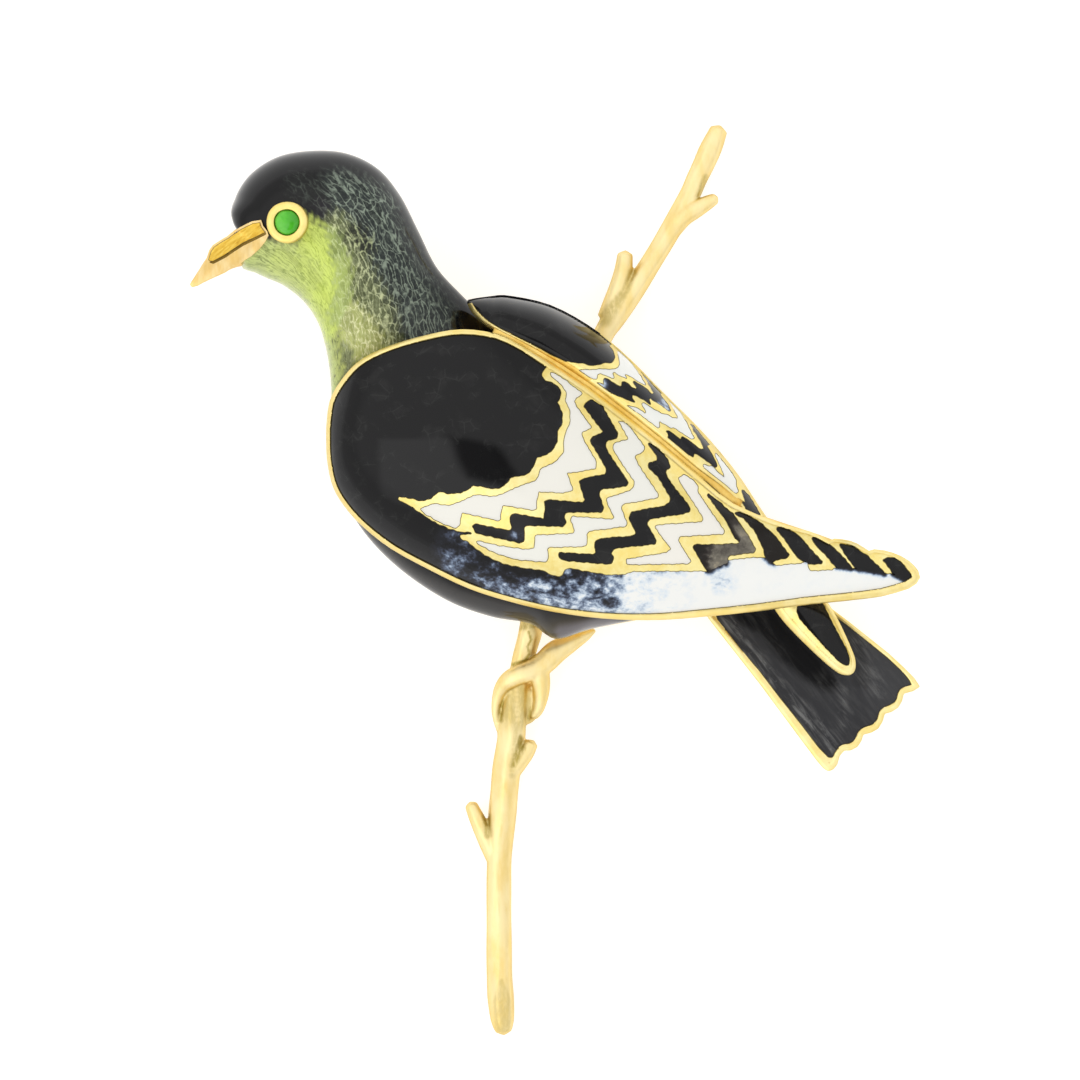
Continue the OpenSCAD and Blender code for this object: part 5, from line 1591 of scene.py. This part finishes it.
painted_shade = np.maximum(painted_shade, 0.36 * from_core(tp, [(516, 728, 0.8, 4), (515, 745, 0.8, 4), (512, 776, 0.4, 5)]))
painted_shade = np.maximum(painted_shade, 0.45 * from_core(tp, [(509, 690, 1, 3), (500, 712, 1, 3), (502, 728, 1, 4)]) * (1 - smooth(tv[:, 2], 2.3, 2.6)))
painted_shade = np.maximum(painted_shade, 0.7 * from_core(tp, [(522, 622, 6, 5), (540, 620, 6, 5)]))
painted_shade = np.maximum(painted_shade, 0.30 * from_core(tp, [(503, 1034, 6, 5), (502, 1004, 7.5, 3), (501.5, 992, 4, 3), (501.5, 983, 1, 3)]) * smooth(tv[:, 2], 1.0, 1.3))
painted_shade = np.maximum(painted_shade, 0.7 * from_core(tp, [(486.5, 818, 2, 5), (488, 836, 2, 4)]))
painted_shade = np.maximum(painted_shade, 0.55 * from_core(tp, [(633, 272, 2, 5), (626, 290, 2, 4), (605, 318, 4, 8)]))
painted_shade = np.maximum(painted_shade, 0.55 * from_core(tp, [(707, 186, 2, 5), (700, 196, 2, 5), (706, 176, 1, 4)]) * (1 - smooth(tv[:, 2], 2.1, 2.4)))
add("twig_and_foot", tv, tf, [GOLD_TWIG], None, {"painted_shade": painted_shade}, stands_for=("branch",))

# ------------------------------------------------------------------ the fitting on the back keeps its own mesh
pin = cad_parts["pin_fitting"]
pin.data.materials.clear()
pin.data.materials.append(GOLD_PIN)

# ------------------------------------------------------------------ floor, light, camera
fm = Tree("floor_paper")
fv = fm.mm()
fm.link(fm.mix(fm.noise(fv, 0.02, 3, 0.5), (0.60, 0.60, 0.60), (0.63, 0.63, 0.63)), fm.b.inputs["Base Color"])
fm.b.inputs["Roughness"].default_value = 0.9
fm.b.inputs["Specular IOR Level"].default_value = 0.1
fm.b.inputs["Emission Color"].default_value = (1, 1, 1, 1)
fm.b.inputs["Emission Strength"].default_value = 0.60
me = bpy.data.meshes.new("floor")
s = 3.0
me.from_pydata([(-s, -s, -2e-5), (s, -s, -2e-5), (s, s, -2e-5), (-s, s, -2e-5)], [], [(0, 1, 2, 3)])
me.materials.append(fm.m)
floor = bpy.data.objects.new("floor", me)
scene.collection.objects.link(floor)

world = bpy.data.worlds.new("studio")
scene.world = world
world.use_nodes = True
wt = world.node_tree
wt.nodes.clear()


def wnode(kind, **kw):
    n_ = wt.nodes.new(kind)
    for k_, v_ in kw.items():
        setattr(n_, k_, v_)
    return n_


def wmath(op, a_, b_=None, clamp=False):
    n_ = wnode("ShaderNodeMath", operation=op, use_clamp=clamp)
    for i_, v_ in enumerate((a_, b_)):
        if v_ is None:
            continue
        if hasattr(v_, "is_output"):
            wt.links.new(v_, n_.inputs[i_])
        else:
            n_.inputs[i_].default_value = v_
    return n_.outputs[0]


def wspan(x_, a_, b_, lo, hi):
    n_ = wnode("ShaderNodeMapRange", interpolation_type="SMOOTHSTEP")
    wt.links.new(x_, n_.inputs["Value"])
    n_.inputs["From Min"].default_value, n_.inputs["From Max"].default_value = a_, b_
    n_.inputs["To Min"].default_value, n_.inputs["To Max"].default_value = lo, hi
    return n_.outputs["Result"]


tc = wnode("ShaderNodeTexCoord")
sep = wnode("ShaderNodeSeparateXYZ")
wt.links.new(tc.outputs["Generated"], sep.inputs[0])
X, Y, Z = sep.outputs


def mirrored(px):
    """Where the near wing throws an upright look at these table points."""
    n_ = near.at(plan(np.array(px, float)))[1]
    return 2 * n_[:, 2:3] * n_ - np.array((0, 0, 1.0))


def panel(px, edge, value, rest=1.0):
    """A soft rectangle on the dome, placed by what the shoulder shows of it."""
    d_ = mirrored(px)
    (x0, y0), (x1, y1) = d_[:, :2].min(0), d_[:, :2].max(0)
    u_ = wmath("MULTIPLY", wmath("ABSOLUTE", wmath("SUBTRACT", X, float(x0 + x1) / 2)), 2 / float(x1 - x0))
    v_ = wmath("MULTIPLY", wmath("ABSOLUTE", wmath("SUBTRACT", Y, float(y0 + y1) / 2)), 2 / float(y1 - y0))
    k_ = wspan(wmath("MAXIMUM", u_, v_), 1 - edge, 1 + edge, value, rest)
    high = wspan(Z, 0.35, 0.45, 0.0, 1.0)
    return wmath("ADD", wmath("MULTIPLY", k_, high), wmath("SUBTRACT", 1.0, high))


# the dark shape of the camera above, a paler strip of the tent beside it, and a dimmer band low around
card = panel([(466, 447), (499, 447), (499, 477), (466, 477)], 0.25, 0.12)
strip = panel([(330, 480), (402, 472), (404, 500), (370, 515)], 0.10, 1.55)
low = wspan(Z, 0.05, 0.12, 1.06, 0.86)
highs = wspan(Z, 0.40, 0.62, 0.0, 0.32)
soft = wspan(wmath("ADD", wmath("MULTIPLY", X, 0.75), wmath("MULTIPLY", Y, -0.45)), -0.7, 0.9, 1.04, 0.90)
level = wmath("MULTIPLY", wmath("MULTIPLY", card, strip), wmath("MULTIPLY", wmath("ADD", low, highs), soft))
bg = wnode("ShaderNodeBackground")
bg.inputs["Color"].default_value = (1, 1, 1, 1)
wt.links.new(level, bg.inputs["Strength"])
wo = wnode("ShaderNodeOutputWorld")
wt.links.new(bg.outputs[0], wo.inputs[0])


cam = bpy.data.cameras.new("camera")
cam.type = "PERSP"
cam.sensor_width = 36.0
cx, cy = plan((540, 540))
dist = 1.6
cam.lens = 36.0 * dist / (1080 * U * MM)
cam.clip_start, cam.clip_end = 0.05, 30.0
co = bpy.data.objects.new("camera", cam)
co.location = (cx * MM, cy * MM, dist + 0.008)
co.rotation_euler = (0, 0, 0)
scene.collection.objects.link(co)
scene.camera = co
scene.view_settings.view_transform = "Standard"
